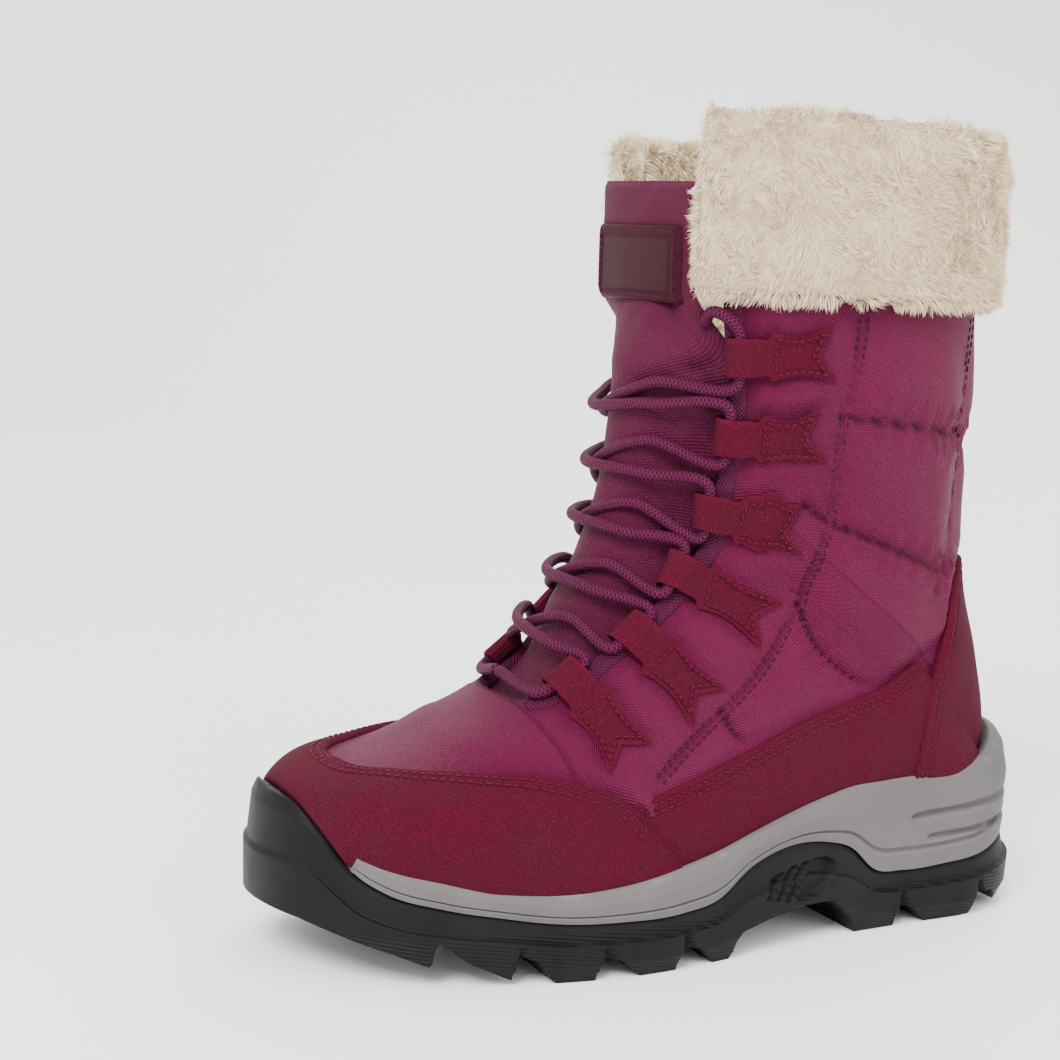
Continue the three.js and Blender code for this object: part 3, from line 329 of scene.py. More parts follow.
# Seams seen from the side, as y and z in millimetres
SEAMS = {
    "front": [(40.9, 205), (40.6, 190.3), (38.4, 174.6), (37, 165), (37.2, 149), (35.9, 136.4), (33, 123.6),
              (28.2, 110.7), (21.4, 98.2), (11.4, 86.3), (-2.2, 76.5), (-13.6, 68.2), (-24.8, 58.6)],
    "back": [(91.6, 205), (91.7, 184), (90.6, 167), (91.2, 155), (90.3, 141), (84.8, 121), (81.8, 112)],
    "top": [(37, 169.2), (46.5, 168.4), (63.2, 166.4), (81.6, 164.3), (90.6, 163.2)],
    "middle": [(27.2, 141.1), (36.5, 135), (47.1, 131.6), (63.7, 125.6), (85, 117.5)],
    "low": [(27.4, 109), (36, 94.5), (47.7, 85.9), (57.9, 79.8)],
    "ankle": [(-1, 77.4), (2.9, 70.6), (12.4, 64.1)],
    "rear_top": [(91, 160), (100, 160), (107, 160.5)],
}
LEVEL_SEAMS = ("top", "middle", "low", "ankle", "rear_top")
# Soft creases, given one by one: end points seen from the side, height and width
CREASES = [
    ((38, 118), (66, 108), -0.9, 5.0), ((44, 108), (78, 100), 0.7, 6.0), ((48, 152), (84, 146), -0.6, 7.0),
    ((42, 190), (70, 184), -0.5, 7.0), ((60, 196), (88, 188), 0.5, 8.0), ((-70, 74), (-38, 78), -0.5, 6.0),
    ((-88, 66), (-62, 70), 0.5, 6.0), ((8, 118), (30, 112), -0.6, 5.0), ((2, 150), (30, 146), -0.5, 5.0),
    ((4, 176), (34, 180), 0.5, 6.0), ((-20, 84), (4, 92), -0.6, 5.0), ((58, 140), (86, 130), 0.6, 8.0),
]
# Edges of the suede seen from the side: share of the length, and height over the bed as a share of the instep
TOE_EDGE = curve(
    [-0.02, 0.05, 0.1, 0.155, 0.21, 0.27, 0.325, 0.36, 0.394, 0.418, 0.436, 0.46],
    [0.054, 0.215, 0.275, 0.324, 0.362, 0.382, 0.354, 0.315, 0.21, 0.132, 0.059, -0.05],
)
SIDE_EDGE = curve(
    [0.38, 0.402, 0.46, 0.524, 0.603, 0.675, 0.717, 0.753, 0.786, 0.82],
    [0.29, 0.297, 0.322, 0.34, 0.36, 0.373, 0.395, 0.441, 0.485, 0.52],
)
COUNTER_EDGE = curve(
    [0.768, 0.775, 0.778, 0.782, 0.79, 0.804, 0.817, 0.83, 0.847, 0.9, 1.02],
    [-0.2, 0.026, 0.095, 0.202, 0.319, 0.454, 0.573, 0.688, 0.751, 0.783, 0.803],
)

# Millimetres between points of a seam, and about how long one unit of section and of turn is
SEAM_STEP = 1.5
ABOUT_MM = np.array([250, 140])


def edge_gap(edge, points):
    """How far a point lies under an edge, in height."""
    share = along(points[..., 1])
    return bed_height(share) + edge(share) * INSTEP - points[..., 2]


def edge_turn(edge, v, side):
    """Where the sections at v cross an edge, as a share of half a turn, and where they end."""
    end = section_end(v, side) / math.pi
    spread = np.linspace(0, 1, 320)
    turns = end[:, None] * spread
    gap = edge_gap(edge, form_point(v[:, None], side * turns * math.pi))
    inside = gap > 0
    first = np.where(inside.any(1), inside.argmax(1), len(spread) - 1)
    before = np.maximum(first - 1, 0)
    rows = np.arange(len(v))
    g0, g1 = gap[rows, before], gap[rows, first]
    t = np.where(first > 0, np.clip(g0 / np.where(g0 - g1 == 0, 1, g0 - g1), 0, 1), 0)
    return turns[rows, before] + (turns[rows, first] - turns[rows, before]) * t, end


def on_side(pairs, side):
    """Sections and turns whose points have these y and z on one side of the last."""
    v = np.linspace(0.2, 1.0, 330)[:, None]
    turn = np.linspace(0.03, 0.985, 240)[None] * section_end(v, side) / math.pi
    grid = form_point(v, side * turn * math.pi)[..., 1:]
    found = []
    for pair in pairs:
        i, j = np.unravel_index(((grid - pair) ** 2).sum(-1).argmin(), grid.shape[:2])
        found.append((v[i, 0], side * turn[i, j]))
    return np.array(found)


def side_path(pairs, side):
    """A line seen from the side, laid on the last: sections and turns, a seam's step apart."""
    place = averaged(on_side(resample(pairs, SEAM_STEP * 2), side))
    place = resample(place * ABOUT_MM, SEAM_STEP) / ABOUT_MM
    return place[:, 0], place[:, 1]


def edge_path(edge, side, low, high):
    """The line where an overlay's edge lies on the last."""
    v = np.linspace(low, high, 220)
    turn, _ = edge_turn(edge, v, side)
    return v, side * turn


class MeshData:
    """Points in millimetres, UVs and faces that are gathered for one piece."""

    def __init__(self):
        self.points, self.uvs, self.faces, self.count = [], [], [], 0

    def add(self, points, faces, uv=None):
        """Some more points, with the faces between them."""
        points = np.asarray(points, float).reshape(-1, 3)
        self.points.append(points)
        self.uvs.append(np.zeros((len(points), 2)) if uv is None else np.asarray(uv, float).reshape(-1, 2))
        self.faces.append(np.asarray(faces, int) + self.count)
        self.count += len(points)

    def grid(self, points, uv=None, flip=False, wrap=False):
        """A sheet through rows of points, joined to a ring where it wraps."""
        rows, columns = points.shape[:2]
        index = np.arange(rows * columns).reshape(rows, columns)
        if wrap:
            index = np.c_[index, index[:, :1]]
        a, b, c, d = index[:-1, :-1], index[:-1, 1:], index[1:, 1:], index[1:, :-1]
        self.add(points, np.stack([a, d, c, b] if flip else [a, b, c, d], -1).reshape(-1, 4), uv)

    def piece(self, name, material, slot, replaced=()):
        """The object that all of it makes, in metres, hiding the nodes that it replaces; the slot is not
        used.
        """
        points = (np.concatenate(self.points) + CENTRING) * MM
        uvs = np.concatenate(self.uvs)
        sizes = np.concatenate([np.full(len(f), f.shape[1]) for f in self.faces])
        corners = np.concatenate([f.ravel() for f in self.faces])
        mesh = bpy.data.meshes.new(name)
        mesh.vertices.add(len(points))
        mesh.vertices.foreach_set("co", points.astype(np.float32).ravel())
        mesh.loops.add(len(corners))
        mesh.loops.foreach_set("vertex_index", corners.astype(np.int32))
        mesh.polygons.add(len(sizes))
        mesh.polygons.foreach_set("loop_start", np.r_[0, np.cumsum(sizes)[:-1]].astype(np.int32))
        mesh.polygons.foreach_set("loop_total", sizes.astype(np.int32))
        mesh.polygons.foreach_set("use_smooth", np.ones(len(sizes), bool))
        layer = mesh.uv_layers.new(name="UVMap")
        layer.data.foreach_set("uv", uvs[corners].astype(np.float32).ravel())
        mesh.update(calc_edges=True)
        mesh.validate()
        mesh.materials.append(material)
        made = bpy.data.objects.new(name, mesh)
        bpy.context.scene.collection.objects.link(made)
        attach(made, "root")
        if replaced:
            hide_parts(*replaced)
        return made


def linear(colour):
    """A colour given in display values, for a shader."""
    return tuple(c / 12.92 if c <= 0.04045 else ((c + 0.055) / 1.055) ** 2.4 for c in colour)


def shade(colour, share):
    """A colour made darker or lighter."""
    return [min(1, c * share) for c in colour]


class Shader:
    """Shorthand for the nodes of one material or group."""

    def __init__(self, tree):
        self.tree = tree

    def node(self, kind, inputs=(), **settings):
        """A node with its inputs linked or set."""
        made = self.tree.nodes.new(kind)
        for key, value in settings.items():
            setattr(made, key, value)
        for key, value in dict(inputs).items():
            if isinstance(value, bpy.types.NodeSocket):
                self.tree.links.new(value, made.inputs[key])
            else:
                made.inputs[key].default_value = value
        return made

    def math(self, operation, a, b=0.0):
        return self.node("ShaderNodeMath", {0: a, 1: b}, operation=operation).outputs[0]

    def blend(self, factor, a, b):
        """A mix of two colours."""
        made = self.node("ShaderNodeMix", data_type="RGBA")
        for key, value in ((0, factor), (6, a), (7, b)):
            if isinstance(value, bpy.types.NodeSocket):
                self.tree.links.new(value, made.inputs[key])
            else:
                made.inputs[key].default_value = value if key == 0 else (*value[:3], 1)
        return made.outputs[2]

    def span(self, value, low, high, to_low=0.0, to_high=1.0):
        """A value moved from one range to another."""
        inputs = {"Value": value, "From Min": low, "From Max": high, "To Min": to_low, "To Max": to_high}
        return self.node("ShaderNodeMapRange", inputs).outputs["Result"]

    def noise(self, vector, scale, detail=2.0, rough=0.5):
        inputs = {"Vector": vector, "Scale": scale, "Detail": detail, "Roughness": rough}
        return self.node("ShaderNodeTexNoise", inputs).outputs["Fac"]

    def place(self, kind="Object"):
        return self.node("ShaderNodeTexCoord").outputs[kind]

    def axes(self, vector):
        return self.node("ShaderNodeSeparateXYZ", {0: vector}).outputs

    def tint(self, share, amount, base, colour):
        """The base with some of another colour, given in display values, where the share says."""
        return self.blend(self.math("MULTIPLY", share, amount), base, linear(colour))


def shader_group(name, inputs, outputs, fill):
    """A node group made once: inputs are (name, socket, default), outputs (name, socket)."""
    if name in bpy.data.node_groups:
        return bpy.data.node_groups[name]
    tree = bpy.data.node_groups.new(name, "ShaderNodeTree")
    for label, kind, default in inputs:
        tree.interface.new_socket(label, in_out="INPUT", socket_type=kind).default_value = default
    for label, kind in outputs:
        tree.interface.new_socket(label, in_out="OUTPUT", socket_type=kind)
    shader = Shader(tree)
    start, end = shader.node("NodeGroupInput"), shader.node("NodeGroupOutput")
    for label, socket in fill(shader, start.outputs).items():
        tree.links.new(socket, end.inputs[label])
    return tree


FLOAT, VECTOR = "NodeSocketFloat", "NodeSocketVector"


def weave_group():
    """Threads that cross, from coordinates in millimetres, with stronger ones at the grid."""

    def fill(shader, given):
        parts = shader.axes(given["Millimetres"])
        wobble = shader.math("MULTIPLY", shader.noise(given["Millimetres"], 0.35), 0.5)
        waves, lines = [], []
        for axis in (0, 1):
            place = shader.math("ADD", parts[axis], wobble)
            turns = shader.math("DIVIDE", 2 * math.pi, given["Thread"])
            waves.append(shader.math("SINE", shader.math("MULTIPLY", place, turns)))
            cell = shader.math("FRACT", shader.math("DIVIDE", place, given["Grid"]))
            off_middle = shader.math("ABSOLUTE", shader.math("SUBTRACT", cell, 0.5))
            lines.append(shader.span(off_middle, 0.44, 0.5))
        cross = shader.math("MULTIPLY", *waves)
        rib = shader.math("MAXIMUM", *lines)
        height = shader.math("ADD", cross, shader.math("MULTIPLY", rib, given["Rib"]))
        return {"Height": height, "Mask": shader.span(cross, -1, 1)}

    inputs = [
        ("Millimetres", VECTOR, (0, 0, 0)), ("Thread", FLOAT, 0.7), ("Grid", FLOAT, 5.0), ("Rib", FLOAT, 0.6),
    ]
    return shader_group("Weave", inputs, [("Height", FLOAT), ("Mask", FLOAT)], fill)


def nap_group():
    """Broad and fine variation for cloth, suede, foam and rubber."""

    def fill(shader, given):
        fine = shader.noise(given["Vector"], given["Fine"], 4, 0.7)
        broad = shader.noise(given["Vector"], given["Broad"], 2, 0.5)
        both = shader.math("ADD", shader.math("MULTIPLY", fine, 0.6), shader.math("MULTIPLY", broad, 0.4))
        return {"Fine": fine, "Broad": broad, "Mask": shader.span(both, 0.3, 0.7)}

    inputs = [("Vector", VECTOR, (0, 0, 0)), ("Fine", FLOAT, 2500.0), ("Broad", FLOAT, 60.0)]
    return shader_group("Nap", inputs, [("Fine", FLOAT), ("Broad", FLOAT), ("Mask", FLOAT)], fill)


def wear_group():
    """Masks for worn edges, for dust that gathers low down, and for hollows, which get painted shade."""

    def fill(shader, given):
        geometry = shader.node("ShaderNodeNewGeometry").outputs
        edge = shader.span(geometry["Pointiness"], 0.51, 0.58)
        broken = shader.math("MULTIPLY", edge, shader.noise(geometry["Position"], 400, 3))
        low = shader.span(shader.axes(geometry["Position"])[2], 0.05, 0.0)
        dust = shader.math("MULTIPLY", low, shader.noise(geometry["Position"], 90, 3))
        # Painted shade: concave places, found by pointiness, get a mask that darkens the colour there.
        hollow = shader.span(geometry["Pointiness"], 0.492, 0.44)
        return {"Edge": shader.math("MULTIPLY", broken, given["Amount"]), "Dust": dust, "Hollow": hollow}

    outputs = [("Edge", FLOAT), ("Dust", FLOAT), ("Hollow", FLOAT)]
    return shader_group("Wear", [("Amount", FLOAT, 1.0)], outputs, fill)


def new_material(name):
    """A material with its node helper and its surface node."""
    material = bpy.data.materials.new(name)
    material.use_nodes = True
    shader = Shader(material.node_tree)
    return material, shader, material.node_tree.nodes["Principled BSDF"]


def finish_material(shader, body, colour, roughness, height, distance, strength=1.0, sheen=0.0,
                    tint=(1, 1, 1)):
    """Links the results of the texture nodes to the surface."""
    links = shader.tree.links
    links.new(colour, body.inputs["Base Color"])
    if isinstance(roughness, bpy.types.NodeSocket):
        links.new(roughness, body.inputs["Roughness"])
    else:
        body.inputs["Roughness"].default_value = roughness
    bump = shader.node("ShaderNodeBump", {"Strength": strength, "Distance": distance, "Height": height})
    links.new(bump.outputs["Normal"], body.inputs["Normal"])
    body.inputs["Specular IOR Level"].default_value = 0.15
    body.inputs["Sheen Weight"].default_value = sheen
    body.inputs["Sheen Roughness"].default_value = 0.5
    body.inputs["Sheen Tint"].default_value = (*tint, 1)


def nap_and_wear(shader, fine, broad, amount):
    """The outputs of the two groups that most finishes share."""
    inputs = {"Vector": shader.place(), "Fine": fine, "Broad": broad}
    nap = shader.node("ShaderNodeGroup", inputs, node_tree=nap_group())
    wear = shader.node("ShaderNodeGroup", {"Amount": amount}, node_tree=wear_group())
    return nap.outputs, wear.outputs


def textile(name, colour, dark, thread=0.7, grid=5.0, rib=0.6, roughness=0.6, depth=0.00015, hollow=0.75):
    """Woven cloth whose UVs are millimetres."""
    material, shader, body = new_material(name)
    weave = shader.node("ShaderNodeGroup", node_tree=weave_group())
    shader.tree.links.new(shader.place("UV"), weave.inputs["Millimetres"])
    for key, value in (("Thread", thread), ("Grid", grid), ("Rib", rib)):
        weave.inputs[key].default_value = value
    nap, wear = nap_and_wear(shader, 900.0, 45.0, 0.5)
    base = shader.tint(weave.outputs["Mask"], 0.7, linear(colour), dark)
    base = shader.blend(shader.span(nap["Mask"], 0, 1, 0, 0.3), base, linear(dark))
    base = shader.tint(wear["Edge"], 0.3, base, shade(colour, 1.3))
    # Painted shade: the cloth is darkened in its hollows.
    base = shader.tint(wear["Hollow"], hollow, base, shade(colour, 0.35))
    height = shader.math("ADD", weave.outputs["Height"], shader.math("MULTIPLY", nap["Fine"], 0.5))
    finish_material(shader, body, base, roughness, height, depth, sheen=0.06, tint=linear(colour))
    return material


def suede(name, colour, dark):
    """Short nap with bright specks, lighter at its edges."""
    material, shader, body = new_material(name)
    nap, wear = nap_and_wear(shader, 1900.0, 70.0, 1.0)
    base = shader.blend(nap["Mask"], linear(dark), linear(colour))
    speck = shader.span(nap["Fine"], 0.5, 0.64, 0, 0.42)
    base = shader.blend(speck, base, linear([min(1, c * 1.6 + 0.02) for c in colour]))
    base = shader.tint(wear["Edge"], 0.5, base, shade(colour, 1.35))
    # Painted shade: the suede is darkened in its hollows.
    base = shader.tint(wear["Hollow"], 0.7, base, shade(colour, 0.4))
    rough = shader.span(nap["Broad"], 0.3, 0.7, 0.85, 1.0)
    finish_material(shader, body, base, rough, nap["Fine"], 0.0005, sheen=0.05, tint=linear(colour))
    return material


def moulded(name, colour, dark, roughness, speckle, dust):
    """Foam or rubber: a fine grain, speckles and dust."""
    material, shader, body = new_material(name)
    nap, wear = nap_and_wear(shader, 1500.0, 40.0, 1.0)
    base = shader.tint(nap["Mask"], speckle, linear(colour), dark)
    base = shader.tint(wear["Edge"], 0.4, base, shade(colour, 1.3))
    base = shader.tint(wear["Dust"], dust, base, (0.72, 0.69, 0.66))
    rough = shader.span(nap["Broad"], 0.3, 0.7, roughness - 0.08, roughness + 0.08)
    finish_material(shader, body, base, rough, nap["Fine"], 0.00015)
    return material


def rubber(name, colour, dark):
    """Rubber with fine ribs moulded across the lugs' faces."""
    material = moulded(name, colour, dark, roughness=0.6, speckle=0.4, dust=0.012)
    shader = Shader(material.node_tree)
    parts = shader.axes(shader.place())
    tilt = shader.math("ADD", parts[2], shader.math("MULTIPLY", parts[1], 0.12))
    wave = shader.math("SINE", shader.math("MULTIPLY", tilt, 5200))
    low = shader.span(parts[2], 0.0165, 0.0145)
    bump = next(n for n in shader.tree.nodes if n.type == "BUMP")
    grain = bump.inputs["Height"].links[0].from_socket
    rib = shader.math("MULTIPLY", shader.math("MULTIPLY", wave, low), 0.9)
    shader.tree.links.new(shader.math("ADD", grain, rib), bump.inputs["Height"])
    return material


def fur_material(name, colour, dark):
    """Hairs whose UVs run from root to tip and from hair to hair; their roots are darkened as painted shade.
    """
    material, shader, body = new_material(name)
    uv = shader.axes(shader.place("UV"))
    place = shader.place()
    clump = shader.span(shader.noise(place, 70, 3), 0.35, 0.65)
    # Painted shade: the hairs darken from the tip down to the root.
    base = shader.blend(shader.span(uv[0], 0.0, 0.8), linear(dark), linear(colour))
    base = shader.tint(clump, 0.35, base, shade(colour, 0.86))
    base = shader.blend(shader.span(uv[1], 0.75, 1, 0, 0.5), base, linear(shade(colour, 0.8)))
    fluff = shader.noise(place, 1500)
    finish_material(shader, body, base, 0.75, fluff, 0.0001, sheen=0.2, tint=linear(colour))
    body.inputs["Subsurface Weight"].default_value = 0.15
    body.inputs["Subsurface Radius"].default_value = (0.004, 0.003, 0.002)
    body.inputs["Subsurface Scale"].default_value = 1.0
    return material


def fleece(name, colour, dark):
    """Short curly pile for the lining."""
    material, shader, body = new_material(name)
    curl = shader.noise(shader.place(), 260, 4, 0.65)
    wear = shader.node("ShaderNodeGroup", node_tree=wear_group())
    base = shader.blend(shader.span(curl, 0.35, 0.6), linear(dark), linear(colour))
    # Painted shade: the fleece is darkened in its hollows.
    base = shader.tint(wear.outputs["Hollow"], 0.3, base, dark)
    finish_material(shader, body, base, 0.9, curl, 0.004, sheen=0.2, tint=linear(colour))
    return material


def braid_material(name, colour, dark):
    """A round braid; UVs are millimetres along and turns around."""
    material, shader, body = new_material(name)
    uv = shader.axes(shader.place("UV"))
    turns = shader.math("MULTIPLY", uv[1], 8 * math.pi)
    run = shader.math("MULTIPLY", uv[0], 5.0)
    left = shader.math("SINE", shader.math("ADD", run, turns))
    right = shader.math("SINE", shader.math("SUBTRACT", run, turns))
    height = shader.math("MAXIMUM", left, right)
    # Painted shade: darker in the grooves between the strands, where the braid's height is low.
    base = shader.blend(shader.span(height, -0.4, 0.7), linear(dark), linear(colour))
    fluff = shader.span(shader.noise(shader.place(), 900, 3), 0.35, 0.7, 0, 0.3)
    base = shader.blend(fluff, base, linear(dark))
    finish_material(shader, body, base, 0.62, height, 0.00045, sheen=0.05, tint=linear(colour))
    return material


def sweep(path, radius):
    """A round tube along a path with rounded ends, and its UVs in millimetres and turns."""
    sides = 14
    tangent = unit(np.gradient(path, axis=0))
    normal = np.zeros_like(path)
    normal[0] = unit(np.cross(tangent[0], (0.3, 0.5, 0.81)))
    for i in range(1, len(path)):
        normal[i] = unit(normal[i - 1] - tangent[i] * (normal[i - 1] @ tangent[i]))
    other = np.cross(tangent, normal)
    turn = np.arange(sides + 1) / sides
    angle = turn * 2 * math.pi
    from_end = np.minimum(np.arange(len(path)), np.arange(len(path))[::-1])
    size = radius * np.maximum(bullnose(from_end / 2), 0.02)
    ring = np.cos(angle)[None, :, None] * normal[:, None] + np.sin(angle)[None, :, None] * other[:, None]
    uv = np.stack(np.broadcast_arrays(distances(path)[:, None], turn[None]), -1)
    return path[:, None] + ring * size[:, None, None], uv


# A stitch's rings: place as a share of its length, width and sinking as shares of its radius
STITCH_RINGS = ((-0.5, 0.25, -0.55), (-0.32, 1.0, 0.0), (0.32, 1.0, 0.0), (0.5, 0.25, -0.55))


def stitch_row(mesh, points, normals, spacing=2.7, length=2.0, radius=0.36):
    """Thread that shows as short rounded dashes along a path."""
    at = distances(points)
    count = int(at[-1] / spacing)
    if count < 1:
        return
    spots = (np.arange(count) + 0.5) * at[-1] / count
    centre = read_off(spots, at, points)
    normal = unit(read_off(spots, at, normals))
    tangent = unit(read_off(spots + 0.4, at, points) - read_off(spots - 0.4, at, points))
    across = np.cross(tangent, normal)
    sides = 5
    ring = np.arange(sides)
    turn = 2 * math.pi * ring / sides
    template = []
    for place, wide, sunk in STITCH_RINGS:
        out, up = np.cos(turn) * radius * wide, (np.sin(turn) * wide + sunk) * radius
        template.append(np.stack([np.full(sides, place * length), out, up], -1))
    template = np.concatenate(template)
    axes = np.stack([tangent, across, normal], 1)
    cloud = centre[:, None] + np.einsum("tk,nkc->ntc", template, axes)
    after = (ring + 1) % sides
    quads = np.concatenate([
        np.stack([r * sides + ring, r * sides + after, (r + 1) * sides + after, (r + 1) * sides + ring], -1)
        for r in range(len(STITCH_RINGS) - 1)
    ])
    mesh.add(cloud, (quads[None] + (np.arange(count) * len(template))[:, None, None]).reshape(-1, 4))


def raised(v, turn, lift, across):
    """Points over the last along a path, with the path's sideways shift in millimetres, and normals."""
    points, normal = surface(v, turn), form_normal(v, np.asarray(turn) * math.pi)
    sideways = np.cross(normal, unit(np.gradient(points, axis=0)))
    return points + sideways * across + normal * lift, normal


# Padding of the upper in millimetres: a height for each effect, then its place and width beside a seam
PUFF, PUFF_WIDTH = 2.3, 9
DIP, LEVEL_DIP, DIP_WIDTH = 0.9, 2.0, 1.4
OVERHANG, OVERHANG_AT, OVERHANG_WIDTH = 0.9, 4.0, 2.6
PUCKER, LEVEL_PUCKER, PUCKER_AT, PUCKER_WIDTH = 0.2, 0.38, 4.2, 3.0
# Height of the nylon where something lies over it
UNDER_SUEDE, UNDER_TAB, UNDER_TAPE, UNDER_CUFF = -0.1, 0.7, 0.2, -2.0


def upper_lines():
    """The lines that hold the quilting down: sections and turns by name and side."""
    lines = {}
    for side in (1, -1):
        for name, pairs in SEAMS.items():
            lines[name, side] = side_path(pairs, side)
        v = np.linspace(0.87, 0.99, 100)
        lines["spine", side] = (v, side * np.full(len(v), 0.999))
    return lines


def quilting(points, side, lines):
    """Padding between the seams, which dips where it is stitched down."""
    own = [key for key in lines if key[1] == side]
    seams = [surface(*lines[key]) for key in own]
    stops = np.concatenate(seams)
    distance, index = nearest(points, stops)
    travel = np.concatenate([np.arange(len(seam)) * SEAM_STEP for seam in seams])[index]
    levels = [np.full(len(seam), key[0] in LEVEL_SEAMS, float) for seam, key in zip(seams, own)]
    level = np.concatenate(levels)[index]
    above = (points[..., 2] > stops[index][..., 2]) * level
    pucker = np.sin(travel * 1.15 + 2.1 * lattice_noise(points, 9, 5))
    height = PUFF * (1 - soft(distance, PUFF_WIDTH)) - mix(DIP, LEVEL_DIP, level) * soft(distance, DIP_WIDTH)
    height += OVERHANG * above * soft(distance - OVERHANG_AT, OVERHANG_WIDTH)
    height += mix(PUCKER, LEVEL_PUCKER, level) * pucker * soft(distance - PUCKER_AT, PUCKER_WIDTH)
    return height


def line_gap(points, start, end):
    """Distance to a straight line between two ends, and the share of it that lies nearest."""
    line = end - start
    share = np.clip((points - start) @ line / (line @ line), 0, 1)
    return np.linalg.norm(points - start - share[..., None] * line, axis=-1), share


def creases(points):
    """Soft creases, and the slack of the cloth."""
    height = 0.35 * lattice_noise(points, 22, 1) + 0.16 * lattice_noise(points, 9, 2)
    for start, end, size, width in CREASES:
        gap, share = line_gap(points[..., 1:], np.array(start), np.array(end))
        height += size * soft(gap, width) * soft(share - 0.5, 0.45)
    return height


def upper_height(v, turn, side, points, lines):
    """How far the padded nylon stands over the last, in millimetres."""
    height = quilting(points, side, lines) + creases(points)
    share = along(points[..., 1])
    for edge, low, high in ((TOE_EDGE, -1, 2), (SIDE_EDGE, 0.4, 0.81), (COUNTER_EDGE, 0.768, 2)):
        under = smoothstep(-7, 0.5, edge_gap(edge, points))
        height = mix(height, UNDER_SUEDE, np.where((share > low) & (share < high), under, 0))
    t, c = np.linspace(0.1, 1.02, 16)[:, None], np.linspace(-1, 1, 5)[None]
    pads = [tab_point(row, side, t, c * 5.5 * TAB_WIDTH(t), 0.0).reshape(-1, 3) for row in TABS]
    away, _ = nearest(points, np.concatenate(pads))
    height = mix(height, np.minimum(height, UNDER_TAB), smoothstep(5.5, 2.0, away))
    open_here = v > THROAT_TIP
    beside = np.abs(turn) - np.where(open_here, THROAT(v), 0)
    near = np.where(open_here, smoothstep(0.07, 0.02, beside), 0)
    height = mix(height, np.minimum(height, UNDER_TAPE), near)
    return mix(height, UNDER_CUFF, smoothstep(0.925, 0.96, v))


def calm(points, v, turn):
    """Rounds the fold where the sections leave the feather line."""
    passes = 350
    weight = smoothstep(0.67, 0.75, v) * smoothstep(0.94, 0.86, v)
    weight = (weight * smoothstep(0.8, 0.62, np.abs(turn)))[..., None]
    for _ in range(passes):
        middle = (points[:-2] + 2 * points[1:-1] + points[2:]) / 4
        points = np.concatenate([points[:1], mix(points[1:-1], middle, weight[1:-1]), points[-1:]])
    return points


def upper_grid(side, rows, columns):
    """Sections and turns of one half of the upper, from the ridge or the throat to the feather line."""
    v = np.linspace(0, 1, rows)[:, None]
    start = np.where(v > THROAT_TIP, THROAT(v), 0)
    end = section_end(v, side) / math.pi
    turn = start + (end - start) * np.linspace(0, 1, columns)[None]
    return np.broadcast_to(v, turn.shape), side * turn


# Tongue: half its width in millimetres, its ends as sections, and the part of its front that holds the patch
TONGUE_HALF = 25
TONGUE_ENDS = (0.387, 0.985)
PATCH_ENDS = (0.92, 0.964)
PATCH_SIDES = (-0.92, 0.86)
PATCH_HEIGHT = 26
PATCH_CORNER = 3.0
# Its creases: two ends as section and share of the half width, height and width in millimetres
TONGUE_CREASES = (
    (0.925, 0.55, 0.865, 0.75, -2.56, 2.6), (0.905, 0.25, 0.86, 0.6, 1.44, 3.0),
    (0.89, 0.7, 0.85, 0.2, -1.44, 3.0), (0.85, -0.6, 0.84, 0.5, -1.28, 4.0),
    (0.79, -0.6, 0.78, 0.6, -1.12, 4.0), (0.71, -0.6, 0.70, 0.6, -1.12, 4.0),
    (0.63, -0.6, 0.62, 0.6, -0.96, 4.0), (0.55, -0.6, 0.54, 0.6, -0.8, 4.0),
)


def tongue_point(v, share, offset):
    """Points of the tongue: it bulges behind the lace and stands flat and wide above it."""
    half = math.pi * (THROAT(v) + 0.05)
    depth = mix(-WALL - 0.9 - TONGUE, -TONGUE * 0.6, smoothstep(0.875, 0.93, v))
    bulge = 7 * (1 - share**2) ** 2.2 * smoothstep(0.42, 0.55, v) * (1 - smoothstep(0.87, 0.93, v))
    angle = share * half
    low = form_point(v, angle) + form_normal(v, angle) * (depth + bulge + offset)[..., None]
    ridge = form_point(v, 0 * angle)
    forward = ridge[..., 1] + 5.5 + 2.5 * share + 2.2 * share**2 + TONGUE / 2 - offset
    flat = np.stack([-4 + share * TONGUE_HALF, forward, ridge[..., 2]], -1)
    return mix(low, flat, smoothstep(0.888, 0.93, v)[..., None])


def tongue_front(v, share, offset=0.0):
    """Points over the tongue's front face."""
    return tongue_point(v, share, np.full(v.shape, TONGUE + offset))


def tongue_creases(rest):
    """Slack of the tongue's cloth and its creases behind the lace."""
    height = 0.8 * lattice_noise(rest, 16, 11) + 0.35 * lattice_noise(rest, 7, 12)
    for v0, s0, v1, s1, size, width in TONGUE_CREASES:
        start, end = tongue_front(np.array([v0, v1]), np.array([s0, s1]))
        height = height + size * soft(line_gap(rest, start, end)[0], width)
    return height


def patch_mesh():
    """The patch: a raised plate with round corners and a frame pressed into it."""
    low, high = PATCH_ENDS
    left, right = PATCH_SIDES
    v, s = np.broadcast_arrays(np.linspace(low, high, 60)[:, None], np.linspace(left, right, 70)[None])
    across = np.minimum(s - left, right - s) * TONGUE_HALF
    upright = np.minimum(v - low, high - v) / (high - low) * PATCH_HEIGHT
    corner = np.hypot(np.maximum(PATCH_CORNER - across, 0), np.maximum(PATCH_CORNER - upright, 0))
    in_corner = (across < PATCH_CORNER) & (upright < PATCH_CORNER)
    inset = np.where(in_corner, PATCH_CORNER - corner, np.minimum(across, upright))
    plate = 2.2 * bullnose(inset / 0.9) - 0.35 * soft(inset - 3.4, 0.5)
    mesh = MeshData()
    points = tongue_point(v, s, TONGUE - 0.6 + np.where(inset > 0, plate, 0))
    mesh.grid(points, np.stack([s * TONGUE_HALF, (v - low) / (high - low) * PATCH_HEIGHT], -1))
    return mesh


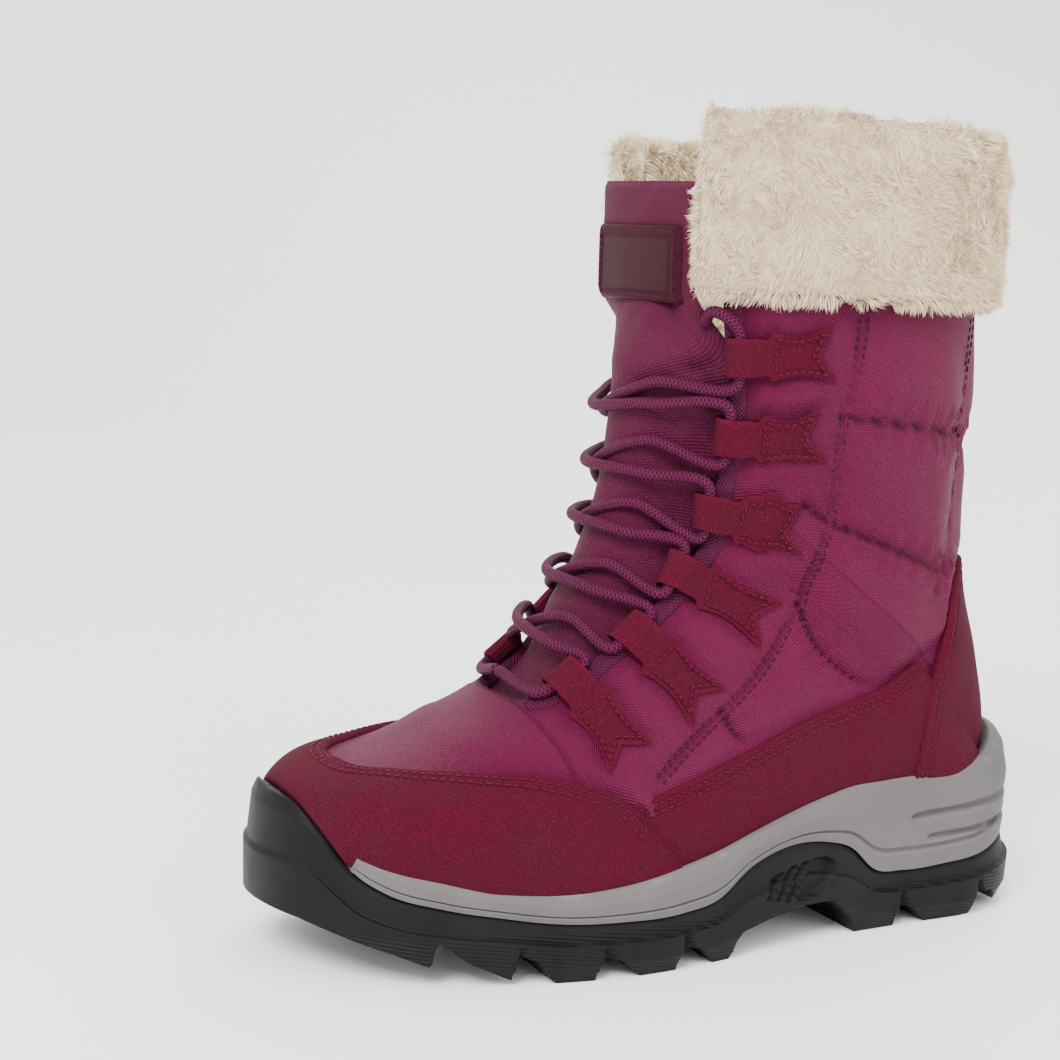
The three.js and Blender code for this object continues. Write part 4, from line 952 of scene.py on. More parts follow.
def patch_stitches():
    """The stitching just inside the patch's edge."""
    s0, s1 = PATCH_SIDES[0] + 2 / TONGUE_HALF, PATCH_SIDES[1] - 2 / TONGUE_HALF
    v0, v1 = PATCH_ENDS[0] + 0.0034, PATCH_ENDS[1] - 0.0034
    cut_s, cut_v = 0.02, 0.003
    loop = np.array([
        (s0, v0 + cut_v), (s0 + cut_s, v0), (s1 - cut_s, v0), (s1, v0 + cut_v), (s1, v1 - cut_v),
        (s1 - cut_s, v1), (s0 + cut_s, v1), (s0, v1 - cut_v), (s0, v0 + cut_v),
    ])
    fine = np.concatenate([np.linspace(a, b, 24) for a, b in zip(loop[:-1], loop[1:])])
    row = tongue_front(fine[:, 1], fine[:, 0], 1.75)
    mesh = MeshData()
    stitch_row(mesh, row, unit(row - tongue_front(fine[:, 1], fine[:, 0])), 2.2, 1.5, 0.3)
    return mesh


# Lace tabs: loop end and forked end as sections and turns, from the top pair down
TABS = [
    (0.901, 0.25, 0.924, 0.436), (0.84, 0.235, 0.886, 0.43), (0.73, 0.205, 0.817, 0.388),
    (0.634, 0.19, 0.672, 0.362), (0.541, 0.18, 0.541, 0.392), (0.453, 0.118, 0.448, 0.352),
]
# Half the width, the lace's place in the loop, and the fork's depth and start, as lengths and shares of a tab
TAB_HALF = 6.2
TUNNEL_SHARE, TUNNEL_OFFSET = 0.13, 3.7
FORK, FORK_FROM = 0.14, 0.62
LOOP_TO = 0.42
PLATE_TOP = 2.95
STITCH_INSET = 1.6
TAB_WIDTH = curve(
    [0, 0.3, 0.4, 0.43, 0.5, 0.64, 0.82, 1.0, 1.2],
    [0.96, 0.96, 0.98, 1.2, 1.12, 1.0, 1.12, 1.42, 1.6],
)
TAB_OUTER = curve([0.0, 0.03, 0.1, 0.2, 0.3, 0.38, 0.44, 1.2], [4.2, 5.9, 6.75, 6.6, 5.2, 3.6, 2.9, 2.9])
TAB_BACK = curve([0, 0.02, 0.06, 0.13, 0.22, 0.4], [4.2, 2.6, 1.5, 1.35, 1.3, 1.3])
# The crossings: how far a strand sags towards one side, and the sections of their lowest points
CROSSING = 0.24
CROSS_V = (0.818, 0.728, 0.643, 0.553, 0.482)


def tab_place(row, side, share, across):
    """Section and turn of a point beside a tab's axis."""
    from_v, from_turn, to_v, to_turn = row
    step_v, step = 0.004, 0.03
    v = mix(from_v, to_v, share)
    angle = side * math.pi * mix(from_turn, to_turn, share)
    along_v = (form_point(v + step_v, angle) - form_point(v - step_v, angle)) / (2 * step_v)
    along_a = (form_point(v, angle + step) - form_point(v, angle - step)) / (2 * step)
    axis = along_v * (to_v - from_v) + along_a * side * math.pi * (to_turn - from_turn)
    sideways = unit(np.cross(axis, form_normal(v, angle))) * across[..., None]
    vv, va, aa = (along_v**2).sum(-1), (along_v * along_a).sum(-1), (along_a**2).sum(-1)
    sv, sa = (along_v * sideways).sum(-1), (along_a * sideways).sum(-1)
    det = vv * aa - va * va
    return v + (sv * aa - sa * va) / det, (angle + (sa * vv - sv * va) / det) / math.pi


def tab_point(row, side, share, across, offset):
    """Points of a tab: share of its length, millimetres beside its axis and over the last."""
    share, across, offset = np.broadcast_arrays(*(np.asarray(x, float) for x in (share, across, offset)))
    return surface(*tab_place(row, side, share, across), offset)


def forked(t, c):
    """Place along a tab, with the notch that is cut into its free end."""
    return t - FORK * (1 - np.abs(c)) * smoothstep(FORK_FROM, 1, t)


def tab_mesh(mesh, row, side):
    """One tab: the loop's outer layer runs on into the plate, and its inner layer comes back below."""
    t = np.r_[np.linspace(0, 0.44, 26), np.linspace(0.46, 1, 26)][:, None]
    c = np.linspace(-1, 1, 21)[None]
    share, half = forked(t, c), TAB_HALF * TAB_WIDTH(t)
    from_side = 1 - np.abs(c)
    bull = bullnose(np.minimum(from_side * TAB_HALF, np.where(t > 0.9, (1 - t) * 30, 9)) / 0.8)
    top = TAB_OUTER(t) + 0 * c
    loop = t < LOOP_TO
    rim = np.where(loop, top - 0.75, 2.0)
    dent = 0.3 * soft(np.abs(from_side * half - STITCH_INSET), 0.6) * (t > 0.4)
    outer = tab_point(row, side, share, c * half, mix(rim, top, bull) - dent)
    under = np.where(loop, np.maximum(top - 1.5, 1.0), 1.1)
    inner = tab_point(row, side, share, c * half, mix(rim, under, bull))
    place = np.stack(np.broadcast_arrays(share * 30, c * half), -1)
    mesh.grid(outer, place, flip=side < 0)
    mesh.grid(inner, place, flip=side > 0)
    for edge in (0, -1):
        mesh.grid(np.stack([outer[:, edge], inner[:, edge]], 1))
    mesh.grid(np.stack([outer[-1], inner[-1]], 1))
    t = np.linspace(0, 0.4, 20)[:, None]
    c = np.linspace(-1, 1, 9)[None]
    back = TAB_BACK(t) + 0 * c
    mesh.grid(tab_point(row, side, t, c * TAB_HALF * 0.98, back), flip=side < 0)
    mesh.grid(tab_point(row, side, t, c * TAB_HALF * 0.98, np.maximum(back - 0.9, 0.5)), flip=side > 0)


def tab_stitches(mesh, row, side):
    """Sews a plate down along its sides, across its loop and along its fork."""
    t = np.linspace(0.47, 0.93, 40)
    half = TAB_HALF * TAB_WIDTH(t)
    sides = forked(t, 1 - STITCH_INSET / half)
    bar = np.linspace(-1, 1, 14) * (TAB_HALF - 1.4)
    c = np.linspace(-0.84, 0.84, 21)
    for share, across in (
        (sides, STITCH_INSET - half), (sides, half - STITCH_INSET), (np.full_like(bar, 0.46), bar),
        (0.93 - FORK * (1 - np.abs(c)), c * TAB_HALF * TAB_WIDTH(0.93)),
    ):
        v, turn = tab_place(row, side, share, across)
        stitch_row(mesh, surface(v, turn, PLATE_TOP), form_normal(v, turn * math.pi), 2.2, 1.6, 0.34)


def lace_crossing(row, upper, lowest, side):
    """A strand over the tongue, from one tab to the next pair's opposite tab."""
    reach = THROAT((row[0] + upper[0]) / 2)
    points = []
    for at in (0.2, 0.5, 0.8):
        near = 1 - abs(1 - 2 * at)
        tab_v = row[0] + 0.012 if at < 0.5 else upper[0] - 0.012
        place = side * (1 - 2 * at) - CROSSING * (1 - abs(1 - 2 * at) ** 2)
        lift = 4.4 + 1.6 * near + 1.7 * side * near
        points.append(surface(np.array(mix(tab_v, lowest, near)), np.array(place * reach), lift))
    return points


def lace_path(side):
    """One end of the lace, from the middle of the bar up to the top tab."""
    points = [surface(np.array(0.408), np.array(0.0), 5.0)]
    for k in range(len(TABS) - 1, -1, -1):
        row = TABS[k]
        for across in (TAB_HALF + 0.8, TAB_HALF - 3, 3 - TAB_HALF, -TAB_HALF - 0.8):
            points.append(tab_point(row, side, TUNNEL_SHARE, side * across, TUNNEL_OFFSET))
        if k:
            points += lace_crossing(row, TABS[k - 1], CROSS_V[k - 1], side)
            side = -side
    for up, back, lift in ((0.023, 0.004, 3.6), (0.024, 0.03, 2.2), (0.012, 0.055, -2.5)):
        points.append(surface(np.array(row[0] + up), np.array(side * (row[1] - back)), lift))
    return resample(np.array(points), 1.1)


# Hairs: half their width and the size of their swirls and clumps in millimetres, and the share at the ends
HAIR_HALF, SWIRL, CLUMP, AT_ENDS = 0.13, 11, 3.2, 0.05
# Fur cuff: heights over the shaft's edge and offsets from the last, round its section
CUFF_SECTION = [
    (0.6, -3.9), (-14, -3.9), (-15, -6.5), (-6, -8), (4, -7.5), (10.5, -3.5), (12.5, 1.5), (9.5, 6.5),
    (2, 9), (-30, 9.6), (-41, 8), (-43.5, 4.5), (-43, 0.9), (0.6, 0.9),
]
# The middle of that section, and the turns where the cuff stops at the front
CUFF_HEIGHT, CUFF_OFFSET = -14.0, 3.0
CUFF_LATERAL, CUFF_MEDIAL = 0.19, 0.215


def cuff_point(turn, height, offset):
    """Points of the cuff: turn runs from its lateral end round the back to its medial end."""
    low = smoothstep(0.55, 0.95, turn)
    at_back = smoothstep(0.45, 0.1, np.abs(turn - 0.5))
    height = np.where(height > 0, height * (1 - 0.75 * low), height)
    offset = 1.5 + (offset - 1.5) * mix(0.72, 0.35, at_back)
    back = at_back * np.clip((height + 43) / 43, 0, 1.2)
    raw = mix(math.pi * CUFF_LATERAL, 2 * math.pi - math.pi * CUFF_MEDIAL, turn)
    angle = np.where(raw > math.pi, raw - 2 * math.pi, raw)
    dip = np.where(height > 0, 0.29 * smoothstep(0.1, 0.5, 0.5 - np.abs(turn - 0.5)), 0)
    base = form_point(1.0, angle) + form_normal(1.0, angle) * offset[..., None]
    lower = form_point(0.93, angle) + form_normal(0.93, angle) * offset[..., None]
    slope = (base - lower) / (base[..., 2:] - lower[..., 2:])
    return base + slope * (height * (1 - dip))[..., None] - back[..., None] * (0, 3.2, 0)


def cuff_ring(s):
    """Section of the cuff as height and offset; s runs round it from 0 to 1."""
    rows = np.array(CUFF_SECTION + CUFF_SECTION[:1], float)
    at = distances(rows)
    return np.interp(s * at[-1], at, rows[:, 0]), np.interp(s * at[-1], at, rows[:, 1])


def cuff_skin():
    """The pile's ground, a little inside the hairs, with its two ends closed."""
    turn = np.linspace(0, 1, 180)[:, None]
    height, offset, turn = np.broadcast_arrays(*cuff_ring(np.linspace(0, 1, 64)[None]), turn)
    base = cuff_point(turn, mix(CUFF_HEIGHT, height, 0.96), mix(CUFF_OFFSET, offset, 0.9))
    base = base + lattice_noise(base, 12, 21)[..., None] * 0.5
    skin = MeshData()
    # UVs of 0.1 give the ground the hairs' dark root colour, which is painted shade.
    skin.grid(base, np.full((*turn.shape, 2), 0.1), flip=True)
    for end in (0, -1):
        fan = np.stack([base[end], np.broadcast_to(base[end].mean(0), base[end].shape)], 1)
        skin.grid(fan, np.full((*fan.shape[:2], 2), 0.1), flip=end == -1)
    return skin


def cuff_hairs(rng, count, longest):
    """Hairs as bent ribbons that lean outwards, down and with their clump."""
    turn = rng.uniform(-0.004, 1.004, count)
    s = rng.uniform(0.12, 0.93, count)
    ends = rng.random(count) < AT_ENDS
    turn = np.where(ends, np.where(rng.random(count) < 0.5, 0.0, 1.0), turn)
    height, offset = cuff_ring(s)
    height = np.where(ends, mix(CUFF_HEIGHT, height, rng.random(count)), height)
    inside = mix(CUFF_OFFSET, offset, rng.random(count))
    offset = np.where(ends, inside, mix(CUFF_OFFSET, offset, 0.93))
    root = cuff_point(np.clip(turn, 0, 1), height, offset)
    next_height, next_offset = cuff_ring(np.clip(s + 0.004, 0, 1))
    step = cuff_point(np.clip(turn, 0, 1), next_height, mix(CUFF_OFFSET, next_offset, 0.93)) - root
    after = cuff_point(np.clip(turn + 0.004, 0, 1), height, offset)
    aside = unit(after - cuff_point(np.clip(turn - 0.004, 0, 1), height, offset))
    at_end = ends[:, None]
    outward = -unit(np.cross(aside, unit(np.where(at_end, (0, 0, 1), step))))
    outward = np.where(at_end, aside * np.where(turn < 0.5, -1, 1)[:, None], outward)
    swirl = np.stack([lattice_noise(root, SWIRL, 31 + k) for k in range(3)], -1)
    clump = np.stack([lattice_noise(root, CLUMP, 41 + k) for k in range(3)], -1)
    down = np.array([0, 0, -1.0])
    lean = unit(outward + down * 0.25 + swirl * 0.8 + clump * 0.9)
    tip = unit(lean + down * 0.45 + swirl * 0.7 + clump * 0.5)
    half = longest * rng.uniform(0.55, 1.0, count) * (1 - 0.25 * np.abs(lattice_noise(root, 7, 51))) * 0.5
    middle = root + lean * half[:, None]
    end = middle + tip * half[:, None]
    wide = unit(np.cross(tip, rng.normal(size=(count, 3)))) * HAIR_HALF
    cloud = np.stack([root - wide, root + wide, middle - wide * 0.8, middle + wide * 0.8, end], 1)
    index = np.arange(count)[:, None] * 5
    tone = rng.random(count)
    # The first UV runs from the root, where the fur material paints shade, to the tip.
    uv = np.stack(np.broadcast_arrays([0.0, 0.0, 0.5, 0.5, 1.0], tone[:, None]), -1)
    hairs = MeshData()
    hairs.add(cloud, np.concatenate([index + (0, 1, 3), index + (0, 3, 2), index + (2, 3, 4)]), uv)
    return hairs


# Sole walls from the bottom up: level, then the insets at the side, toe and heel in cup walls
FOAM_ROWS = np.array([
    (-0.2, 0.57, 0.3, 0.87), (0.17, 0.22, 0.3, 0.6), (0.2, 0.2, 0.3, 0.57), (0.215, 0.44, 0.32, 0.78),
    (0.24, 0.41, 0.3, 0.78), (0.26, 0.2, 0.3, 0.7), (0.6, 0.02, 0.3, 0.74), (0.85, 0.08, 0.35, 1.2),
    (0.95, 0.18, 0.42, 1.7), (1.0, 0.34, 0.5, 2.3),
])
RUBBER_ROWS = np.array([
    (-0.1, 0.74, 0.98, 1.09), (0.04, 0.57, 0.7, 0.74), (0.3, 0.13, 0.17, 0.09), (0.66, 0, 0.07, 0.04),
    (0.69, 0.26, 0.28, 0.39), (0.93, 0.39, 0.52, 0.7), (1.0, 0.62, 0.82, 0.92),
])
# What stands over the floor along the sole: share of the length, and height in lugs
GROUND = np.array([
    (-0.02, 3.1), (0.03, 2.75), (0.075, 2.1), (0.11, 1.65), (0.148, 1.05), (0.152, 2.3), (0.185, 1.3),
    (0.236, 0.26), (0.241, 1.4), (0.262, 1.25), (0.285, 0), (0.332, 0), (0.337, 1.05), (0.358, 1),
    (0.385, 0), (0.434, 0), (0.439, 1.05), (0.462, 1), (0.485, 0), (0.512, 0), (0.522, 1.3), (0.565, 1.7),
    (0.62, 2), (0.662, 2), (0.69, 1), (0.702, 0), (0.762, 0), (0.767, 1), (0.785, 1), (0.81, 0), (0.884, 0),
    (0.889, 1.15), (0.915, 1.2), (0.938, 0.25), (0.97, 0.5), (0.993, 1.6), (1.02, 3),
])
SIDE_GAPS = (0.152, 0.241, 0.337, 0.439, 0.767, 0.889)
GAP_WIDTH, GAP_DEPTH, GAP_TOP = 8, 2.4, LUG * 1.9
# Slots at the heel: start and its level, end and its level, and half the height in millimetres
HEEL_SLOTS = [(0.772, 0.58, 0.972, 0.43, 1.4), (0.8, 0.34, 0.972, 0.18, 1.2)]
SLOT_DEPTH = 2.4
# The arch recess: share of the length, and height in outsoles
ARCH_RECESS = np.array([
    (0.557, 0.96), (0.566, 1.33), (0.595, 1.46), (0.626, 1.53), (0.65, 1.53), (0.663, 1.42), (0.664, 1.2),
    (0.655, 0.98), (0.635, 0.84), (0.6, 0.82),
])
ARCH_RIBS = (0.577, 0.594, 0.611)
ARCH_DEPTH = 2.6
SOLE_TOE, SOLE_HEEL = 0.2, 0.14
SOLE_STATIONS = 320


def ground(y):
    """Height of the tread over the floor."""
    return np.interp(along(y), GROUND[:, 0], GROUND[:, 1]) * LUG


def foam_level(share, level):
    """Height of a level between the rubber's top edge and the midsole's rim."""
    rim = np.maximum(rim_height(share), rubber_top(share) + 2)
    return mix(rubber_top(share), rim, level)


def polygon_gap(points, corners):
    """Signed distance to a polygon, plus inside."""
    inside = np.zeros(points.shape[:-1], bool)
    best = np.full(points.shape[:-1], 1e9)
    for a, b in zip(corners, np.roll(corners, -1, axis=0)):
        best = np.minimum(best, line_gap(points, a, b)[0])
        crosses = (a[1] > points[..., 1]) != (b[1] > points[..., 1])
        rise = b[1] - a[1] if b[1] != a[1] else 1e-9
        where = (b[0] - a[0]) * (points[..., 1] - a[1]) / rise + a[0]
        inside ^= crosses & (points[..., 0] < where)
    return np.where(inside, best, -best)


def sole_ring(levels, rows, height, cut):
    """Rings of a sole block: insets come from the rows, heights and cuts from functions."""
    i = np.arange(2 * SOLE_STATIONS)
    k = np.where(i > SOLE_STATIONS, 2 * SOLE_STATIONS - i, i)
    t = 0.5 - 0.5 * np.cos(math.pi * k / SOLE_STATIONS)
    side = np.where(i > SOLE_STATIONS, -1.0, 1.0)
    inset = [np.interp(levels, rows[:, 0], rows[:, c])[:, None] * CUP_WALL for c in (1, 2, 3)]
    y = mix(lengthwise(0) + inset[1], lengthwise(1) - inset[2], t[None])
    share = along(y)
    z = height(share, levels[:, None])
    ends = rounded_ends(t[None], SOLE_TOE, SOLE_HEEL)
    half = (BALL_WIDTH * OUTLINE["half"](share) - inset[0] - cut(y, z)) * ends
    x = BALL_WIDTH * OUTLINE["shift"](np.clip(share, 0, 1)) + side * half
    return np.stack([x, y, z], -1)


def closed(wall, steps):
    """A sole wall with the rings that lead from its top towards the middle: insets and drops."""
    x, y, z = wall[-1].T
    centre = BALL_WIDTH * OUTLINE["shift"](np.clip(along(y), 0, 1))
    rings = []
    for inset, drop in steps:
        room = np.sign(x - centre) * np.maximum(np.abs(x - centre) - inset, 0.4)
        rings.append(np.stack([centre + room, np.clip(y, y.min() + inset, y.max() - inset), z - drop], -1))
    return np.concatenate([wall, np.stack(rings)])


def rubber_cut(y, z):
    """How far the lugs' gaps and the arch recess reach into the rubber's side."""
    cut = np.zeros_like(z)
    for share in SIDE_GAPS:
        start = lengthwise(share)
        width = GAP_WIDTH * np.clip(1 - z / GAP_TOP, 0.12, 1)
        inside = smoothstep(-0.3, 0.5, np.minimum(y - start, start + width - y))
        cut = np.maximum(cut, GAP_DEPTH * inside * smoothstep(GAP_TOP + 0.6, GAP_TOP - 1, z))
    corners = np.stack([lengthwise(ARCH_RECESS[:, 0]), ARCH_RECESS[:, 1] * OUTSOLE], -1)
    recess = ARCH_DEPTH * smoothstep(-0.2, 1.0, polygon_gap(np.stack([y, z], -1), corners))
    for share in ARCH_RIBS:
        centre = lengthwise(share + 0.04 * (z / OUTSOLE - 1.15))
        recess = recess * (1 - smoothstep(1.5, 0.7, np.abs(y - centre)))
    return cut + recess


def foam_cut(y, z):
    """Slots at the heel, and the bands that bulge between them."""
    cut = np.zeros_like(z)
    share = along(y)
    for start, low, end, high, wide in HEEL_SLOTS:
        t = np.clip((share - start) / (end - start), 0, 1)
        centre = mix(foam_level(start, low), foam_level(end, high), t)
        gap = np.abs(z - centre) - wide * (0.55 + 0.45 * t)
        ends = smoothstep(start, start + 0.01, share) * smoothstep(end + 0.006, end, share)
        cut = np.maximum(cut, SLOT_DEPTH * smoothstep(0.5, -0.5, gap) * ends)
    return cut


def foam_mesh():
    """The midsole: its wall, its rim, and the front part that hides behind the bumper."""
    levels = np.unique(np.r_[np.linspace(0.0, 1.0, 40), FOAM_ROWS[1:, 0]])
    wall = sole_ring(levels, FOAM_ROWS, lambda share, level: foam_level(share, level) + 0.2, foam_cut)
    points = closed(wall, ((1.2, -0.25), (2.4, 0.2), (5.0, 2.5), (9.0, 7.0)))
    share = along(points[..., 1])
    hidden = np.minimum(points[..., 2], rubber_top(share) * 0.5)
    points[..., 2] = mix(points[..., 2], hidden, smoothstep(0.073, 0.068, share))
    points[..., 0] *= 1 - 0.16 * smoothstep(0.0745, 0.0715, share)
    mesh = MeshData()
    mesh.grid(points, wrap=True)
    return mesh


def tread_height(share, level):
    """Height of a level of the rubber, which never lies below the tread."""
    return np.maximum(rubber_top(share) * level, ground(lengthwise(share)))


def rubber_mesh():
    """The outsole: its wall with the bumper, and the tread with its middle channel."""
    levels = np.unique(np.r_[np.linspace(0.0, 1.0, 52), RUBBER_ROWS[1:, 0]])
    wall = sole_ring(levels, RUBBER_ROWS, tread_height, rubber_cut)
    mesh = MeshData()
    mesh.grid(closed(wall, ((0.7, -0.5), (2.0, -0.7), (3.6, -0.2), (8.0, 5.0))), wrap=True)
    lateral = wall[0, :SOLE_STATIONS + 1]
    medial = np.r_[wall[0, :1], wall[0, :SOLE_STATIONS:-1], wall[0, SOLE_STATIONS:SOLE_STATIONS + 1]]
    sheet = mix(lateral[:, None], medial[:, None], np.linspace(0, 1, 60)[None, :, None])
    share = along(sheet[..., 1])
    channel = smoothstep(8.4, 7.6, np.abs(sheet[..., 0])) * ((share > 0.13) & (share < 0.9))
    sheet[..., 2] = np.maximum(ground(sheet[..., 1]), LUG * channel)
    mesh.grid(sheet)
    return mesh


class BootSizes(bpy.types.PropertyGroup):
    """Sizes that a user may change."""

    stitch_spacing: FloatProperty(
        name="Stitch spacing", description="Distance between stitches on the seams",
        default=0.0027, min=0.0015, max=0.006, unit="LENGTH", precision=4)
    hair_length: FloatProperty(
        name="Hair length", description="Length of the cuff's longest hairs",
        default=0.0052, min=0.003, max=0.015, unit="LENGTH", precision=4)
    hair_count: IntProperty(
        name="Hairs", description="Number of hairs in each half of the cuff",
        default=55000, min=1000, max=66000)
    upper_rows: IntProperty(
        name="Upper rows", description="Rows of the upper's mesh from toe to collar",
        default=300, min=60, max=400)


class BootColours(bpy.types.PropertyGroup):
    """Colours that a user may change."""

    nylon: FloatVectorProperty(
        name="Nylon", description="Quilted cloth", default=(0.37, 0.033, 0.205),
        size=3, subtype="COLOR", min=0, max=1)
    suede: FloatVectorProperty(
        name="Suede", description="Overlays and tabs", default=(0.265, 0.005, 0.1),
        size=3, subtype="COLOR", min=0, max=1)
    lace: FloatVectorProperty(
        name="Lace", description="Lace and edge tape", default=(0.31, 0.045, 0.2),
        size=3, subtype="COLOR", min=0, max=1)
    fur: FloatVectorProperty(
        name="Fur", description="Cuff and lining", default=(0.98, 0.9, 0.77),
        size=3, subtype="COLOR", min=0, max=1)
    foam: FloatVectorProperty(
        name="Foam", description="Midsole", default=(0.37, 0.355, 0.355),
        size=3, subtype="COLOR", min=0, max=1)
    rubber: FloatVectorProperty(
        name="Rubber", description="Outsole", default=(0.025, 0.02, 0.022),
        size=3, subtype="COLOR", min=0, max=1)


def sizes():
    """The sizes that the user has set."""
    return bpy.context.scene.boot_sizes


def colours():
    """The colours that the user has set."""
    return bpy.context.scene.boot_colours


def shared(name, make, *values, **settings):
    """The material of that name, made when it is first asked for."""
    return bpy.data.materials.get(name) or make(name, *values, **settings)


def nylon_material():
    c = colours().nylon
    dark = shade(c, 0.78)
    return shared("Nylon", textile, c, dark, thread=1.0, grid=30, rib=0, roughness=0.55, depth=0.00025)


def ripstop_material():
    c = colours().nylon
    return shared("Ripstop", textile, shade(c, 0.82), shade(c, 0.6), thread=0.9, grid=3.6, rib=0.9)


def seam_material():
    c = colours().nylon
    return shared("Seam_thread", textile, shade(c, 0.5), shade(c, 0.42), thread=0.4, grid=9, rib=0, hollow=0)


def suede_material():
    c = colours().suede
    return shared("Suede", suede, c, shade(c, 0.72))


def thread_material():
    c = colours().suede
    return shared("Thread", textile, shade(c, 1.25), shade(c, 0.9), thread=0.4, grid=9, rib=0, hollow=0)


def patch_material():
    c = colours().suede
    return shared("Patch", textile, shade(c, 0.82), shade(c, 0.6), thread=0.5, grid=60, rib=0, roughness=0.5)


def tape_material():
    c = colours().lace
    return shared("Tape", textile, c, shade(c, 0.6), thread=1.3, grid=50, rib=0, depth=0.0003)


def lace_material():
    c = colours().lace
    return shared("Braid", braid_material, shade(c, 1.1), shade(c, 0.7))


def lining_material():
    c = colours().fur
    return shared("Lining", fleece, c, shade(c, 0.82))


def cuff_material():
    c = colours().fur
    # The darker colour is painted shade at the hairs' roots.
    return shared("Fur", fur_material, c, shade(c, 0.78))


def foam_material():
    c = colours().foam
    return shared("Foam", moulded, c, shade(c, 0.86), roughness=0.7, speckle=0.8, dust=0.1)


def sole_material():
    c = colours().rubber
    return shared("Rubber", rubber, c, shade(c, 0.75))


# The stage, in metres: the floor runs away from the camera and curves up into a wall
AWAY = np.array([-0.896, 0.444])
FLOOR_FRONT, FLOOR_BACK, FLOOR_HALF, FLOOR_BEND, WALL_TOP = -9.0, 1.6, 9, 0.9, 4.0
# Lights: name, place, aim, size and power
LIGHTS = (
    ("Key", (1.1, -1.3, 1.7), (0, 0, 0.1), 1.0, 85),
    ("Fill", (1.6, 0.6, 0.9), (0, 0, 0.12), 1.6, 20),
    ("Rim", (-1.2, 1.2, 1.5), (0, 0, 0.15), 1.2, 24),
)
CAMERA_AT = (0.585542, -0.339592, 0.21972)
CAMERA_TURN = (
    (0.438141, -0.142484, 0.887542), (0.897808, 0.020586, -0.439905), (0.044408, 0.989583, 0.136943),
)
SENSOR, LENS = 36, 71.518


def stage_floor():
    """A pale floor that curves up behind the boot."""
    side = np.array([-AWAY[1], AWAY[0]])
    profile = [(FLOOR_FRONT, 0.0), (FLOOR_BACK, 0.0)]
    for turn in np.linspace(0.1, math.pi / 2, 14):
        profile.append((FLOOR_BACK + FLOOR_BEND * math.sin(turn), FLOOR_BEND * (1 - math.cos(turn))))
    profile.append((FLOOR_BACK + FLOOR_BEND, WALL_TOP))
    points = [[*(AWAY * d + side * w), z] for d, z in profile for w in (-FLOOR_HALF, FLOOR_HALF)]
    faces = [(2 * i, 2 * i + 1, 2 * i + 3, 2 * i + 2) for i in range(len(profile) - 1)]
    mesh = bpy.data.meshes.new("floor")
    mesh.from_pydata(points, [], faces)
    mesh.polygons.foreach_set("use_smooth", [True] * len(faces))
    material, shader, body = new_material("Floor")
    place = shader.place()
    base = shader.blend(shader.noise(place, 3), (0.93, 0.93, 0.93), (0.95, 0.95, 0.95))
    finish_material(shader, body, base, 0.9, shader.noise(place, 200), 0.0001, strength=0.1)
    mesh.materials.append(material)
    return bpy.data.objects.new("floor", mesh)


def soft_light(name, place, aim, size, power):
    """A square lamp that looks at a point."""
    data = bpy.data.lights.new(name, "AREA")
    data.shape, data.size, data.energy = "SQUARE", size, power
    back = unit(np.array(place) - aim)
    right = unit(np.cross((0, 0, 1), back))
    matrix = Matrix(np.stack([right, np.cross(back, right), back], 1).tolist()).to_4x4()
    matrix.translation = place
    light = bpy.data.objects.new(name, data)
    light.matrix_world = matrix
    return light


class BOOT_OT_stage(bpy.types.Operator):
    """Make the floor, the lights, the sky and the camera"""

    bl_idname = "boot.stage"
    bl_label = "Stage"

    def execute(self, context):
        scene = context.scene
        floor = stage_floor()
        scene.collection.objects.link(floor)
        world = bpy.data.worlds.new("Sky")
        world.use_nodes = True
        background = world.node_tree.nodes["Background"]
        background.inputs["Color"].default_value = (1, 1, 1, 1)
        background.inputs["Strength"].default_value = 1.6
        scene.world = world
        for row in LIGHTS:
            scene.collection.objects.link(soft_light(*row))
        data = bpy.data.cameras.new("Camera")
        data.sensor_width, data.lens = SENSOR, LENS
        data.clip_start, data.clip_end = 0.05, 20
        camera = bpy.data.objects.new("Camera", data)
        matrix = Matrix(CAMERA_TURN).to_4x4()
        matrix.translation = CAMERA_AT
        camera.matrix_world = matrix
        scene.collection.objects.link(camera)
        scene.camera = camera
        return {"FINISHED"}


# Columns of the upper's mesh; its UVs take half a turn as so many millimetres
UPPER_COLUMNS = 118
HALF_TURN_MM = 141


class BOOT_OT_upper(bpy.types.Operator):
    """Make the quilted nylon upper with its lining"""

    bl_idname = "boot.upper"
    bl_label = "Upper"

    def execute(self, context):
        lines = upper_lines()
        outer, inner = MeshData(), MeshData()
        for side in (1, -1):
            v, turn = upper_grid(side, sizes().upper_rows, UPPER_COLUMNS)
            points = calm(surface(v, turn), v, turn)
            height = upper_height(v, turn, side, points, lines)
            normal = unit(calm(form_normal(v, turn * math.pi), v, turn))
            run = distances(points[:, UPPER_COLUMNS // 2 + 1])
            uv = np.stack([turn * HALF_TURN_MM, np.broadcast_to(run[:, None], turn.shape)], -1)
            outer.grid(points + normal * height[..., None], uv, flip=side < 0)
            v, turn = upper_grid(side, 90, 40)
            inner.grid(surface(v, turn, -WALL + 0.1), flip=side > 0)
        outer.piece("upper_nylon", nylon_material(), "nylon", ["upper"])
        inner.piece("upper_lining", lining_material(), "lining")
        return {"FINISHED"}


# The suede: how far its edge is rounded, and its two rows of stitches with the dents they make
EDGE_ROUND = 1.1
STITCH_ROWS = (2.2, 4.6)
DENT, DENT_WIDTH = 0.28, 0.7


